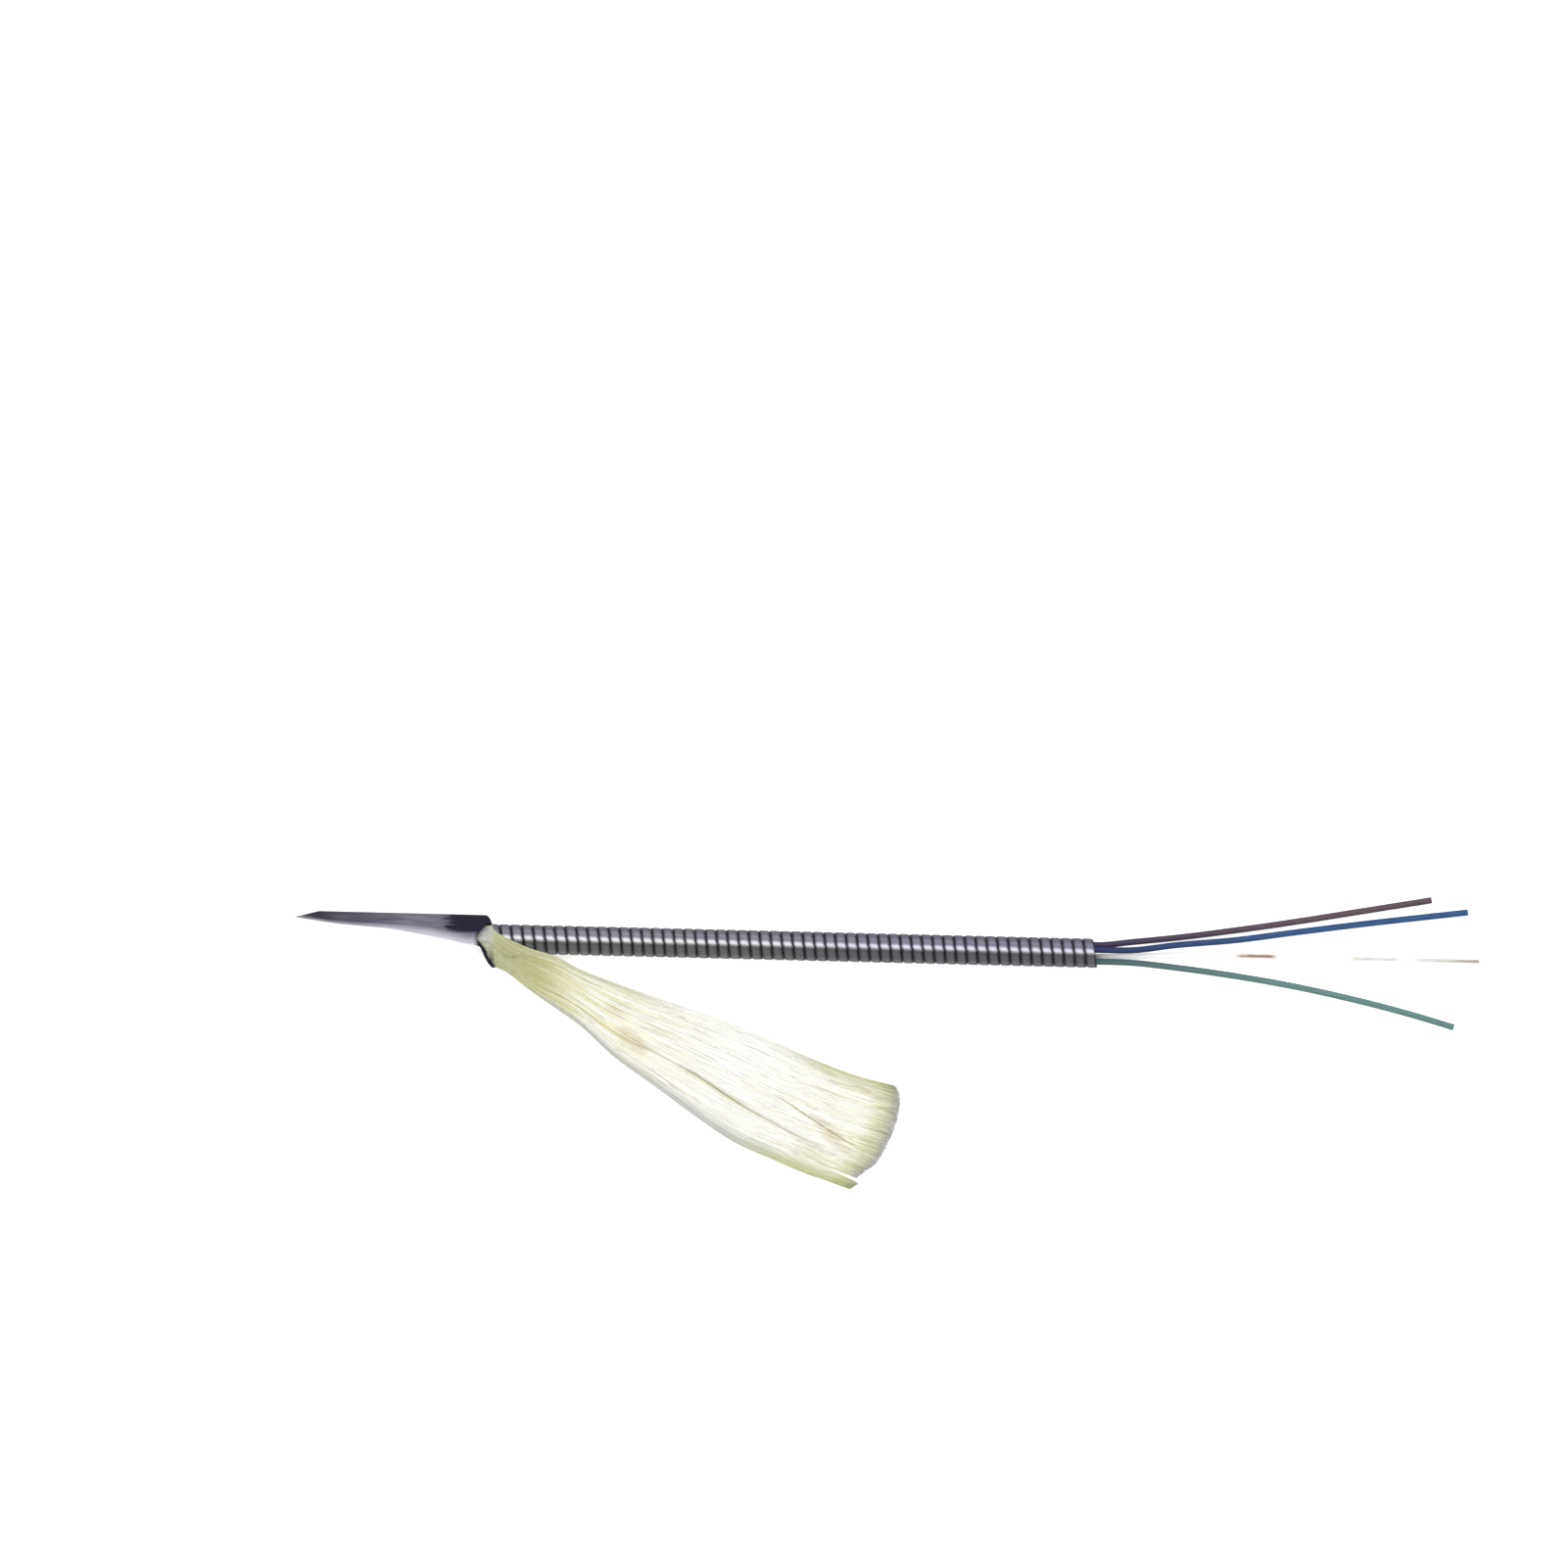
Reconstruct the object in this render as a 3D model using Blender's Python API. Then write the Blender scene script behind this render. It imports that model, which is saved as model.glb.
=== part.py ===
# Armoured fibre patch cable, one cut-back end: outer jacket, aramid yarn, spiral steel armour and
# four tight-buffered fibres. The cable lies along X on the floor, z = 0, with its fibres towards +X.
# Every place below is measured from the jacket's mouth, x = 0, on the armour's line, y = 0, until
# the finished pieces are moved so that the origin is the middle of the base of their box.

import math

import bmesh
import bpy
import numpy as np
from mathutils import Vector

MM = 0.001

# Outer jacket
JACKET_DIAMETER = 5.0 * MM
JACKET_WALL = 0.7 * MM
JACKET_TAIL = 18.7 * MM  # how far the tongue of jacket reaches behind the mouth
JACKET_SIDESTEP = 0.27 * MM  # the yarn pushes the armour this far off the jacket's middle
JACKET_SIDES = 48
MOUTH_LIP = 0.62 * MM  # how far the mouth reaches forward on the yarn's side
MOUTH_NOTCH_DEPTH = 1.4 * MM  # how far the mouth's upper side is cut back in a notch
RING_WIDTH = 0.34 * MM  # the narrow ring of jacket left where the tongue has been cut away
RING_POINTS = 8
TONGUE_POINT_SPACING = 1.2 * MM
TONGUE_NOSE_LENGTH = 5.5 * MM  # the tongue's end is rounded off over this length
TONGUE_NOSE_POINTS = 8
TONGUE_NOSE_SKEW = math.radians(6.2)

# Spiral armour
ARMOUR_DIAMETER = 2.8 * MM
ARMOUR_STRIP_THICKNESS = 0.25 * MM
ARMOUR_PITCH = 1.03 * MM
ARMOUR_TURN_GAP = 0.04 * MM  # between one turn of the strip and the next
ARMOUR_EDGE_DEPTH = 0.1 * MM  # the strip's outer edges are rolled down by this much
ARMOUR_EDGE_WIDTH = 0.2 * MM
ARMOUR_EXPOSED = 58.0 * MM
ARMOUR_INSERTION = 1.45 * MM  # the length that sits inside the jacket's ring
ARMOUR_DROP_LENGTH = 20.0 * MM  # it comes down to the floor over this length
ARMOUR_LOW_IN_BORE = 0.1 * MM
ARMOUR_SEGMENTS = 14  # in each turn
ARMOUR_STRIP_START = math.radians(-90)  # where round the tube the strip's hidden end is
ARMOUR_SLOPE_STEP = 0.1 * MM

# Tight-buffered fibres
FIBRE_DIAMETER = 0.6 * MM
FIBRE_INSERTION = 0.7 * MM  # the length that sits inside the jacket
FIBRE_BORE_CLEARANCE = 0.06 * MM
FIBRE_POINT_SPACING = 1.9 * MM
FIBRE_SEAT_POINTS = 16  # guide points along the bore

# Aramid yarn
YARN_ROVINGS = 7
YARN_THICKNESS_AT_MOUTH = 0.27 * MM
YARN_THICKNESS_AT_END = 0.6 * MM
YARN_CLEARANCE = 0.06 * MM
YARN_GAP = 0.08 * MM  # between neighbouring rovings
YARN_TOP_ANGLE = math.radians(118)  # in the mouth, round the bore from the -Y side upwards
YARN_LOW_ANGLE = math.radians(-42)
YARN_ROUND_TO = 1.6 * MM  # it has lost its round shape by here
YARN_END_BULGE = 2.3 * MM  # how much further the middle of the cut end reaches
YARN_SIDES = 8
YARN_POINT_SPACING = 1.8 * MM

CUTTER_MARGIN = 1.0 * MM  # how far a cutter reaches past what it cuts
SHARP_ANGLE = math.radians(40)

# Finishes: colour, roughness, metallic
FINISHES = {
    "jacket_black": ((0.016, 0.015, 0.022), 0.42, 0.0),
    "armour_steel": ((0.60, 0.60, 0.63), 0.28, 1.0),
    "aramid_yellow": ((0.80, 0.76, 0.40), 0.60, 0.0),
    "fibre_brown": ((0.13, 0.07, 0.065), 0.38, 0.0),
    "fibre_blue": ((0.03, 0.09, 0.24), 0.38, 0.0),
    "fibre_orange": ((0.72, 0.36, 0.16), 0.38, 0.0),
    "fibre_green": ((0.10, 0.25, 0.19), 0.38, 0.0),
}

jacket_radius = JACKET_DIAMETER / 2
jacket_bore = jacket_radius - JACKET_WALL
armour_radius = ARMOUR_DIAMETER / 2
armour_bore = armour_radius - ARMOUR_STRIP_THICKNESS
strip_width = ARMOUR_PITCH - ARMOUR_TURN_GAP
fibre_radius = FIBRE_DIAMETER / 2
jacket_y = -JACKET_SIDESTEP
jacket_z = jacket_radius
armour_z_at_mouth = jacket_z - ARMOUR_LOW_IN_BORE
armour_z_on_floor = armour_radius

# The lower edge of the jacket's tongue, seen from above, from its tip to the ring: each x as a
# share of the tongue's length, and each y as a share of the jacket's radius
TONGUE_EDGE = [(1.0, 0.64), (0.75, 0.42), (0.5, 0.288), (0.3, 0.048), (0.2, -0.08), (0.13, -0.2)]
# The rounded upper corner of the tongue's tip, in the same way
TONGUE_TIP = [(0.78, 1.04), (0.88, 0.88), (0.95, 0.74)]

# The mouth's edge seen from above: each place across the jacket as a share of its radius, and how far
# forward the edge is there, as a share of the lip
MOUTH_EDGE = [(1.0, -0.16), (-0.5, 0.19), (-1.0, 1.0)]
# The notch in the mouth's upper side, from its +Y end: each place across the jacket in the same way,
# and how deep the notch is there, as a share of its depth
MOUTH_NOTCH = [(0.75, 0.0), (0.7, 0.05), (0.67, 0.31), (0.51, 0.52), (0.37, 0.74), (0.23, 0.92), (0.15, 1.0),
               (0.03, 0.88), (-0.06, 0.68), (-0.2, 0.46), (-0.35, 0.28), (-0.5, 0.21), (-0.65, 0.17),
               (-0.8, 0.12), (-0.92, 0.03), (-1.0, 0.0)]

# Free part of each fibre: (x from the armour's end, y, z), with the angle of its seat in the bore
FIBRES = {
    "brown": {
        "seat": math.radians(8),
        "route": [(3.2, 1.15, 1.42), (7.4, 1.66, 1.2), (13.0, 2.49, 0.78), (18.6, 3.42, 0.45),
                  (24.2, 4.44, 0.32), (31.8, 5.84, 0.30)],
    },
    "blue": {
        "seat": math.radians(64),
        "route": [(3.2, 0.38, 2.02), (7.4, 0.96, 1.75), (13.0, 1.56, 1.15), (18.6, 2.41, 0.62),
                  (24.2, 3.24, 0.36), (35.3, 4.76, 0.30)],
    },
    "orange": {
        "seat": math.radians(-118),
        "route": [(3.2, -0.22, 0.72), (7.4, -0.02, 0.62), (13.0, 0.07, 0.46), (18.6, 0.10, 0.35),
                  (24.2, 0.10, 0.31), (36.5, 0.05, 0.30)],
    },
    "green": {
        "seat": math.radians(180),
        "route": [(3.2, -0.82, 1.32), (7.4, -1.18, 1.12), (13.0, -1.83, 0.74), (18.6, -2.67, 0.42),
                  (24.2, -3.75, 0.32), (29.8, -5.05, 0.30), (34.2, -6.25, 0.30)],
    },
}

# The yarn outside the mouth: points on its upper and its lower edge as seen from above, (x, y, z)
# in mm
YARN_RIBS = [
    ((0.8, 0.45, 3.98), (0.95, -2.6, 1.85)),
    ((2.1, -0.15, 3.94), (2.0, -3.27, 1.65)),
    ((3.7, -0.82, 3.78), (3.9, -4.70, 1.35)),
    ((6.1, -1.52, 3.10), (6.4, -6.40, 1.00)),
    ((8.6, -2.75, 2.20), (8.9, -8.10, 0.75)),
    ((12.0, -4.00, 1.35), (12.0, -10.90, 0.55)),
    ((16.1, -5.30, 0.80), (15.9, -13.60, 0.42)),
    ((20.4, -6.60, 0.50), (19.6, -16.20, 0.34)),
    ((25.8, -8.60, 0.36), (23.6, -18.80, 0.30)),
    ((31.3, -10.90, 0.31), (27.6, -20.50, 0.30)),
    ((35.3, -12.30, 0.30), (31.0, -21.90, 0.30)),
    ((38.8, -13.10, 0.30), (33.8, -23.10, 0.30)),
]


def clear_scene():
    for old in list(bpy.data.objects):
        bpy.data.objects.remove(old, do_unlink=True)


def material(name):
    colour, roughness, metallic = FINISHES[name]
    made = bpy.data.materials.get(name)
    if made is None:
        made = bpy.data.materials.new(name)
        made.use_nodes = True
        shader = made.node_tree.nodes["Principled BSDF"]
        shader.inputs["Base Color"].default_value = (*colour, 1.0)
        shader.inputs["Roughness"].default_value = roughness
        shader.inputs["Metallic"].default_value = metallic
        made.diffuse_color = (*colour, 1.0)
    return made


def add_object(name, data, finish):
    made = bpy.data.objects.new(name, data)
    bpy.context.scene.collection.objects.link(made)
    if finish:
        data.materials.append(material(finish))
    return made


def finished_mesh(name, bm):
    bmesh.ops.recalc_face_normals(bm, faces=bm.faces)
    mesh = bpy.data.meshes.new(name)
    bm.to_mesh(mesh)
    bm.free()
    mesh.shade_smooth()
    mesh.set_sharp_from_angle(angle=SHARP_ANGLE)
    return mesh


def swept_mesh(name, rings):
    """A closed mesh through rings of points, with flat ends."""
    bm = bmesh.new()
    loops = [[bm.verts.new(p) for p in ring] for ring in rings]
    count = len(rings[0])
    for before, after in zip(loops[:-1], loops[1:], strict=True):
        for i in range(count):
            j = (i + 1) % count
            bm.faces.new((before[i], before[j], after[j], after[i]))
    bm.faces.new(loops[0])
    bm.faces.new(loops[-1])
    return finished_mesh(name, bm)


def through(points, step):
    """Points about step apart on a smooth curve through the given ones."""
    p = np.array(points, float)
    along = np.concatenate([[0], np.cumsum(np.linalg.norm(np.diff(p, axis=0), axis=1))])
    slope = np.gradient(p, along, axis=0)
    places = np.linspace(0, along[-1], max(2, round(along[-1] / step) + 1))
    i = np.clip(np.searchsorted(along, places, side="right") - 1, 0, len(p) - 2)
    span = (along[i + 1] - along[i])[:, None]
    t = (places - along[i])[:, None] / span
    near = (1 + 2 * t) * (1 - t) ** 2 * p[i] + t * (1 - t) ** 2 * span * slope[i]
    far = t**2 * (3 - 2 * t) * p[i + 1] + t**2 * (t - 1) * span * slope[i + 1]
    return near + far


def armour_height(x):
    """The height of the armour's axis: level in the mouth, then down to the floor."""
    t = min(max(x / ARMOUR_DROP_LENGTH, 0.0), 1.0)
    share = t * t * (3 - 2 * t)
    return armour_z_at_mouth + share * (armour_z_on_floor - armour_z_at_mouth)


def armour_slope(x):
    rise = armour_height(x + ARMOUR_SLOPE_STEP) - armour_height(x - ARMOUR_SLOPE_STEP)
    return rise / (2 * ARMOUR_SLOPE_STEP)


def across_jacket(y, table):
    """Looks up a place across the jacket in one of the tables that are given from +Y to -Y."""
    places, values = zip(*reversed(table), strict=True)
    return float(np.interp((y - jacket_y) / jacket_radius, places, values))


def mouth_x(y):
    """Where the mouth's edge is on the jacket's lower side."""
    return MOUTH_LIP * across_jacket(y, MOUTH_EDGE)


def rim_x(y):
    """Where it is on the upper side, which is notched."""
    return mouth_x(y) - MOUTH_NOTCH_DEPTH * across_jacket(y, MOUTH_NOTCH)


def jacket_from_above():
    """The jacket's outline: the tongue's edge, the narrow ring, the mouth, the tongue's tip."""
    edge, tip = (
        [(-x * JACKET_TAIL, y * jacket_radius) for x, y in shares] for shares in (TONGUE_EDGE, TONGUE_TIP)
    )
    tongue = through(edge, TONGUE_POINT_SPACING)
    ring = []
    for i in range(1, RING_POINTS + 1):
        share = i / RING_POINTS
        y = jacket_y - jacket_radius * share
        if y < tongue[-1][1] - RING_WIDTH / 2:
            ring.append((rim_x(y) - RING_WIDTH, y))
    low, high = (jacket_y + side * (jacket_radius + CUTTER_MARGIN) for side in (-1, 1))
    edge = [(mouth_x(y), y) for y in (jacket_y + place * jacket_radius for place, reach in MOUTH_EDGE)]
    front = [(ring[-1][0], low), (edge[-1][0], low), *reversed(edge), (edge[0][0], high)]
    return [tuple(p) for p in tongue] + ring + front + [(tip[0][0], high)] + tip


def notch_from_above():
    """The outline of what the notch takes off the mouth's upper side."""
    notch = [(rim_x(y), y) for y in (jacket_y + place * jacket_radius for place, depth in MOUTH_NOTCH)]
    front, low = jacket_radius + CUTTER_MARGIN, notch[-1][1] - CUTTER_MARGIN
    return [*notch, (mouth_x(low), low), (front, low), (front, notch[0][1])]


def jacket_from_the_side():
    """The tongue's rounded nose, and room for the mouth: (x, height over the jacket's middle)."""
    nose = []
    for i in range(TONGUE_NOSE_POINTS + 1):
        angle = math.pi * i / TONGUE_NOSE_POINTS
        x = -JACKET_TAIL + TONGUE_NOSE_LENGTH * (1 - math.sin(angle))
        nose.append((x, jacket_radius * math.cos(angle)))
    reach = jacket_radius + CUTTER_MARGIN
    return [(nose[0][0], reach), *nose, (nose[-1][0], -reach), (reach, -reach), (reach, reach)]


def prism(name, outline, depths, place):
    """A cutter with this outline between two depths; place gives each point's place in space."""
    rings = [[place(a, b, depth) for a, b in outline] for depth in depths]
    made = add_object(name, swept_mesh(name, rings), None)
    made.hide_render = True
    made.display_type = "WIRE"
    return made


def cut(target, cutter, operation):
    modifier = target.modifiers.new(cutter.name, "BOOLEAN")
    modifier.operation = operation
    modifier.object = cutter
    modifier.solver = "EXACT"


def jacket_circle(x, radius):
    angles = [2 * math.pi * i / JACKET_SIDES for i in range(JACKET_SIDES)]
    return [(x, jacket_y + radius * math.cos(a), jacket_z + radius * math.sin(a)) for a in angles]


def outer_jacket():
    """A plain sleeve, cut to its shape from above and from the side, with a notch in its mouth."""
    front = MOUTH_LIP + CUTTER_MARGIN
    back = -JACKET_TAIL - CUTTER_MARGIN
    circles = [(back, jacket_radius), (front, jacket_radius), (front, jacket_bore), (back, jacket_bore)]
    bm = bmesh.new()
    loops = [[bm.verts.new(p) for p in jacket_circle(x, radius)] for x, radius in circles]
    for near, far in zip(loops, loops[1:] + loops[:1], strict=True):
        for i in range(JACKET_SIDES):
            j = (i + 1) % JACKET_SIDES
            bm.faces.new((near[i], near[j], far[j], far[i]))
    jacket = add_object("outer_jacket", finished_mesh("outer_jacket", bm), "jacket_black")

    reach = jacket_radius + CUTTER_MARGIN
    heights = (jacket_z - reach, jacket_z + reach)
    blank = prism("shape_from_above", jacket_from_above(), heights, lambda x, y, z: (x, y, z))
    cut(jacket, blank, "INTERSECT")

    def beside(x, height, across):
        """A place in the side view, with the skew of the tongue's nose."""
        skewed = x - math.tan(TONGUE_NOSE_SKEW) * across
        return (skewed, jacket_y + across, jacket_z + height)

    side = prism("shape_from_the_side", jacket_from_the_side(), (-reach, reach), beside)
    cut(jacket, side, "INTERSECT")
    upper_half = (jacket_z, jacket_z + reach)
    notch = prism("mouth_notch", notch_from_above(), upper_half, lambda x, y, z: (x, y, z))
    cut(jacket, notch, "DIFFERENCE")
    return jacket


def strip_section():
    """The strip cut across: (place along the tube, distance from its axis), edges rolled down."""
    half = strip_width / 2
    shoulder, low = half - ARMOUR_EDGE_WIDTH, armour_radius - ARMOUR_EDGE_DEPTH
    outer = [(-half, low), (-shoulder, armour_radius), (shoulder, armour_radius), (half, low)]
    return [(-half, armour_bore), *outer, (half, armour_bore)]


def armour_tube():
    """A flat steel strip wound to the right about +X, its turns nearly touching."""
    start = -ARMOUR_INSERTION + strip_width / 2
    end = ARMOUR_EXPOSED - strip_width / 2
    turns = (end - start) / ARMOUR_PITCH
    steps = round(turns * ARMOUR_SEGMENTS)
    rings = []
    for i in range(steps + 1):
        x = start + (end - start) * i / steps
        angle = ARMOUR_STRIP_START + 2 * math.pi * turns * i / steps
        tilt = math.atan(armour_slope(x))
        along = Vector((math.cos(tilt), 0, math.sin(tilt)))
        up = Vector((-math.sin(tilt), 0, math.cos(tilt)))
        out = math.cos(angle) * Vector((0, 1, 0)) + math.sin(angle) * up
        axis = Vector((x, 0, armour_height(x)))
        rings.append([axis + a * along + r * out for a, r in strip_section()])
    return add_object("armour_tube", swept_mesh("armour_tube", rings), "armour_steel")


def fibre_points(seat, route):
    """A fibre's centreline: along the bore at its seat, then free to its cut end."""
    seat_radius = armour_bore - fibre_radius - FIBRE_BORE_CLEARANCE
    y, z = seat_radius * math.cos(seat), seat_radius * math.sin(seat)
    step = ARMOUR_EXPOSED / FIBRE_SEAT_POINTS
    places = [step * i - FIBRE_INSERTION for i in range(FIBRE_SEAT_POINTS + 1)]
    points = [(x, y, armour_height(x) + z) for x in [*places, ARMOUR_EXPOSED]]
    points += [(ARMOUR_EXPOSED + a * MM, b * MM, c * MM) for a, b, c in route]
    line = through(points, FIBRE_POINT_SPACING)
    line[:, 2] = np.maximum(line[:, 2], fibre_radius)
    return line


def fibre(colour, seat, route):
    name = "fibre_" + colour
    curve = bpy.data.curves.new(name, "CURVE")
    curve.dimensions = "3D"
    curve.bevel_depth = fibre_radius
    curve.bevel_resolution = 2
    curve.use_fill_caps = True
    points = fibre_points(seat, route)
    spline = curve.splines.new("POLY")
    spline.points.add(len(points) - 1)
    for place, p in zip(spline.points, points, strict=True):
        place.co = (*p, 1.0)
    return add_object(name, curve, name)


def yarn_thickness(share):
    return YARN_THICKNESS_AT_MOUTH + share * (YARN_THICKNESS_AT_END - YARN_THICKNESS_AT_MOUTH)


def clear_of_armour(p, thickness):
    """Moves a point of the yarn out until the yarn lies on the armour and not in it."""
    middle = Vector((p.x, 0, armour_height(p.x)))
    out = p - middle
    least = armour_radius + YARN_CLEARANCE + thickness / 2
    return middle + out * (least / out.length) if out.length < least else p


def round_point(x, across, thickness):
    """A place in the yarn where it lines the jacket's bore, and not behind the jacket's ring."""
    angle = YARN_TOP_ANGLE + across * (YARN_LOW_ANGLE - YARN_TOP_ANGLE)
    radius = jacket_bore - YARN_CLEARANCE - thickness / 2
    y = jacket_y - radius * math.cos(angle)
    return Vector((max(x, rim_x(y) - RING_WIDTH / 2), y, jacket_z + radius * math.sin(angle)))


def yarn_ribs():
    """Lines across the yarn, from the mouth to its cut end: its upper and its lower edge."""
    root = [round_point(-ARMOUR_INSERTION, across, YARN_THICKNESS_AT_MOUTH) for across in (0, 1)]
    leaving = [(mouth_x(p.y) + YARN_CLEARANCE, p.y, p.z) for p in root]
    ribs = [[*leaving[0], *leaving[1]]]
    for upper, lower in YARN_RIBS:
        ribs.append([*(Vector(upper) * MM), *(Vector(lower) * MM)])
    outside = [(Vector(rib[:3]), Vector(rib[3:])) for rib in through(ribs, YARN_POINT_SPACING)]
    return [root, *outside]


def yarn_point(rib, across, thickness):
    flat = rib[0].lerp(rib[1], across)
    bent = round_point(flat.x, across, thickness)
    share = (flat.x - MOUTH_LIP) / (YARN_ROUND_TO - MOUTH_LIP)
    roundness = (1 - min(max(share, 0.0), 1.0)) ** 2
    return clear_of_armour(flat.lerp(bent, roundness), thickness)


def roving(number):
    """One flat bundle of aramid filaments, from the mouth to its cut end."""
    ribs = yarn_ribs()
    last = len(ribs) - 1
    edges = [number / YARN_ROVINGS, (number + 1) / YARN_ROVINGS]
    middle = sum(edges) / 2
    thick = [yarn_thickness(i / last) for i in range(last + 1)]
    centres = [yarn_point(rib, middle, t) for rib, t in zip(ribs, thick, strict=True)]
    stretch = 1 / math.cos(math.pi / YARN_SIDES)
    rings = []
    for i, rib in enumerate(ribs):
        side = [yarn_point(rib, edge, thick[i]) for edge in edges]
        width = side[1] - side[0]
        along = (centres[min(i + 1, last)] - centres[max(i - 1, 0)]).normalized()
        across = width.normalized()
        up = across.cross(along).normalized()
        centre = centres[i].copy()
        if i == last:
            centre += along * YARN_END_BULGE * 4 * middle * (1 - middle)
        centre.z = max(centre.z, thick[i] / 2)
        ring = []
        for k in range(YARN_SIDES):
            angle = 2 * math.pi * (k + 0.5) / YARN_SIDES
            sideways = (width.length - YARN_GAP) / 2 * stretch * math.cos(angle)
            ring.append(centre + across * sideways + up * thick[i] / 2 * stretch * math.sin(angle))
        rings.append(ring)
    name = f"aramid_roving_{number + 1}"
    return add_object(name, swept_mesh(name, rings), "aramid_yellow")


def centre_on_base(pieces):
    """Parents the pieces to one empty and moves it so that the origin is their box's base."""
    bpy.context.view_layer.update()
    graph = bpy.context.evaluated_depsgraph_get()
    low, high = np.full(3, np.inf), np.full(3, -np.inf)
    for piece in pieces:
        shown = piece.evaluated_get(graph)
        mesh = shown.to_mesh()
        points = np.empty(len(mesh.vertices) * 3, np.float32)
        mesh.vertices.foreach_get("co", points)
        shown.to_mesh_clear()
        points = points.reshape(-1, 3)
        low, high = np.minimum(low, points.min(axis=0)), np.maximum(high, points.max(axis=0))
    holder = bpy.data.objects.new("cable_origin", None)
    bpy.context.scene.collection.objects.link(holder)
    for piece in bpy.data.objects:
        if piece is not holder:
            piece.parent = holder
    holder.location = (-(low[0] + high[0]) / 2, -(low[1] + high[1]) / 2, -low[2])
    bpy.context.view_layer.update()


def main():
    clear_scene()
    pieces = [outer_jacket(), armour_tube()]
    pieces += [fibre(colour, facts["seat"], facts["route"]) for colour, facts in FIBRES.items()]
    pieces += [roving(i) for i in range(YARN_ROVINGS)]
    centre_on_base(pieces)


main()
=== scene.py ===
import math

import bpy
import numpy as np
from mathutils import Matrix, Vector


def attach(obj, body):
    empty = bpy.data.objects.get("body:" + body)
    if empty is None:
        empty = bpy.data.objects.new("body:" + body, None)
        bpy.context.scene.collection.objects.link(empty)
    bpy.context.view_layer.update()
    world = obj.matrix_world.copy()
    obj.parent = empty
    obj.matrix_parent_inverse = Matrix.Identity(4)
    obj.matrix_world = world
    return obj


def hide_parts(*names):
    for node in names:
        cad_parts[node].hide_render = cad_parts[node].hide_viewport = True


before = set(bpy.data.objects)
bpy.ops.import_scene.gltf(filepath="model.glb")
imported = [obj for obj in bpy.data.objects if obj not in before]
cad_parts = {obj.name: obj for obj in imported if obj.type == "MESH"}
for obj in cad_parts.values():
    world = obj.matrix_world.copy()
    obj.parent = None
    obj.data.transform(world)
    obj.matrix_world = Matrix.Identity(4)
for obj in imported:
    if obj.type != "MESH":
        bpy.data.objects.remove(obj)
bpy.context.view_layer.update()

# The looks of an armoured fibre patch cable's cut-back end. Places are measured as in the CAD
# source: x along the cable from the jacket's mouth, y across it from the armour's line, z up from
# the floor. SHIFT takes them to the row frame.
MM = 0.001
SHIFT = np.array((-37.9007, 8.5807, 0.0)) * MM

# Outer jacket
JACKET_RADIUS = 2.5 * MM
JACKET_BORE = 1.8 * MM
JACKET_TAIL = 18.7 * MM  # how far the tongue reaches behind the mouth
JACKET_Y = -0.27 * MM
JACKET_Z = JACKET_RADIUS
MOUTH_LIP = 0.62 * MM  # how far the mouth reaches forward on the yarn's side
MOUTH_NOTCH_DEPTH = 1.4 * MM  # how far the mouth's upper side is cut back in a notch
RING_WIDTH = 0.34 * MM  # the narrow ring of jacket left where the tongue has been cut away
RING_POINTS = 24
NOSE_LENGTH = 5.5 * MM  # the tongue's end is rounded off over this length
NOSE_SLOPE = math.tan(math.radians(6.2))
# The tongue's lower edge and the upper corner of its tip, seen from above: each x as a share of the
# tail, and each y as a share of the radius
TONGUE_EDGE = [(1.0, 0.64), (0.75, 0.42), (0.5, 0.288), (0.3, 0.048), (0.2, -0.08), (0.13, -0.2)]
TONGUE_TIP = [(0.78, 1.04), (0.88, 0.88), (0.95, 0.74)]
TONGUE_STEP = 0.4 * MM
# The mouth's edge and its notch: each place across the jacket as a share of its radius, and how far
# forward the edge is, or how deep the notch is, as a share of the lip or of the notch's depth
MOUTH_EDGE = [(1.0, -0.55), (0.92, -0.2), (0.7, 0.18), (-0.5, 0.19), (-1.0, 1.0)]
MOUTH_NOTCH = [(0.75, 0.0), (0.7, 0.05), (0.67, 0.31), (0.51, 0.52), (0.37, 0.74), (0.23, 0.92), (0.15, 1.0),
               (0.03, 0.88), (-0.06, 0.68), (-0.2, 0.46), (-0.35, 0.28), (-0.5, 0.21), (-0.65, 0.17),
               (-0.8, 0.12), (-0.92, 0.03), (-1.0, 0.0)]
JACKET_SIDES = 200
JACKET_LENGTHWISE = 80
JACKET_EDGE = 0.05 * MM  # the cut edges are this blunt
JACKET_BLUNTING = ((0.3, 0.3), (0.0, 1.0))  # setback and cut round an edge, as shares of that
MOUTH_WAVE = 0.035 * MM  # how far the knife strayed
MOUTH_SEED = 4
TONGUE_WAVE = 1.5 * MOUTH_WAVE
TONGUE_SEED = 9

# What the jacket's look goes by, in mm in the row frame: where painted highlight turns the tongue grey in
# streaks and paints a pale band along its lower edge, and where the jacket stays solid black
TONGUE_STRETCH = (-57.0, -41.0)
TONGUE_EDGE_STRETCH = (-57.0, -40.0)
TONGUE_EDGE_LOWEST = 7.58  # y of the tongue's lower edge at its lowest
TONGUE_EDGE_HIGHEST = 3.0  # what a full share in the edge's ramp adds to it
SOLID_BLACK_FROM = (-42.3, -41.6)
RING_BLACK_FROM = (-39.4, -38.9)

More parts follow.
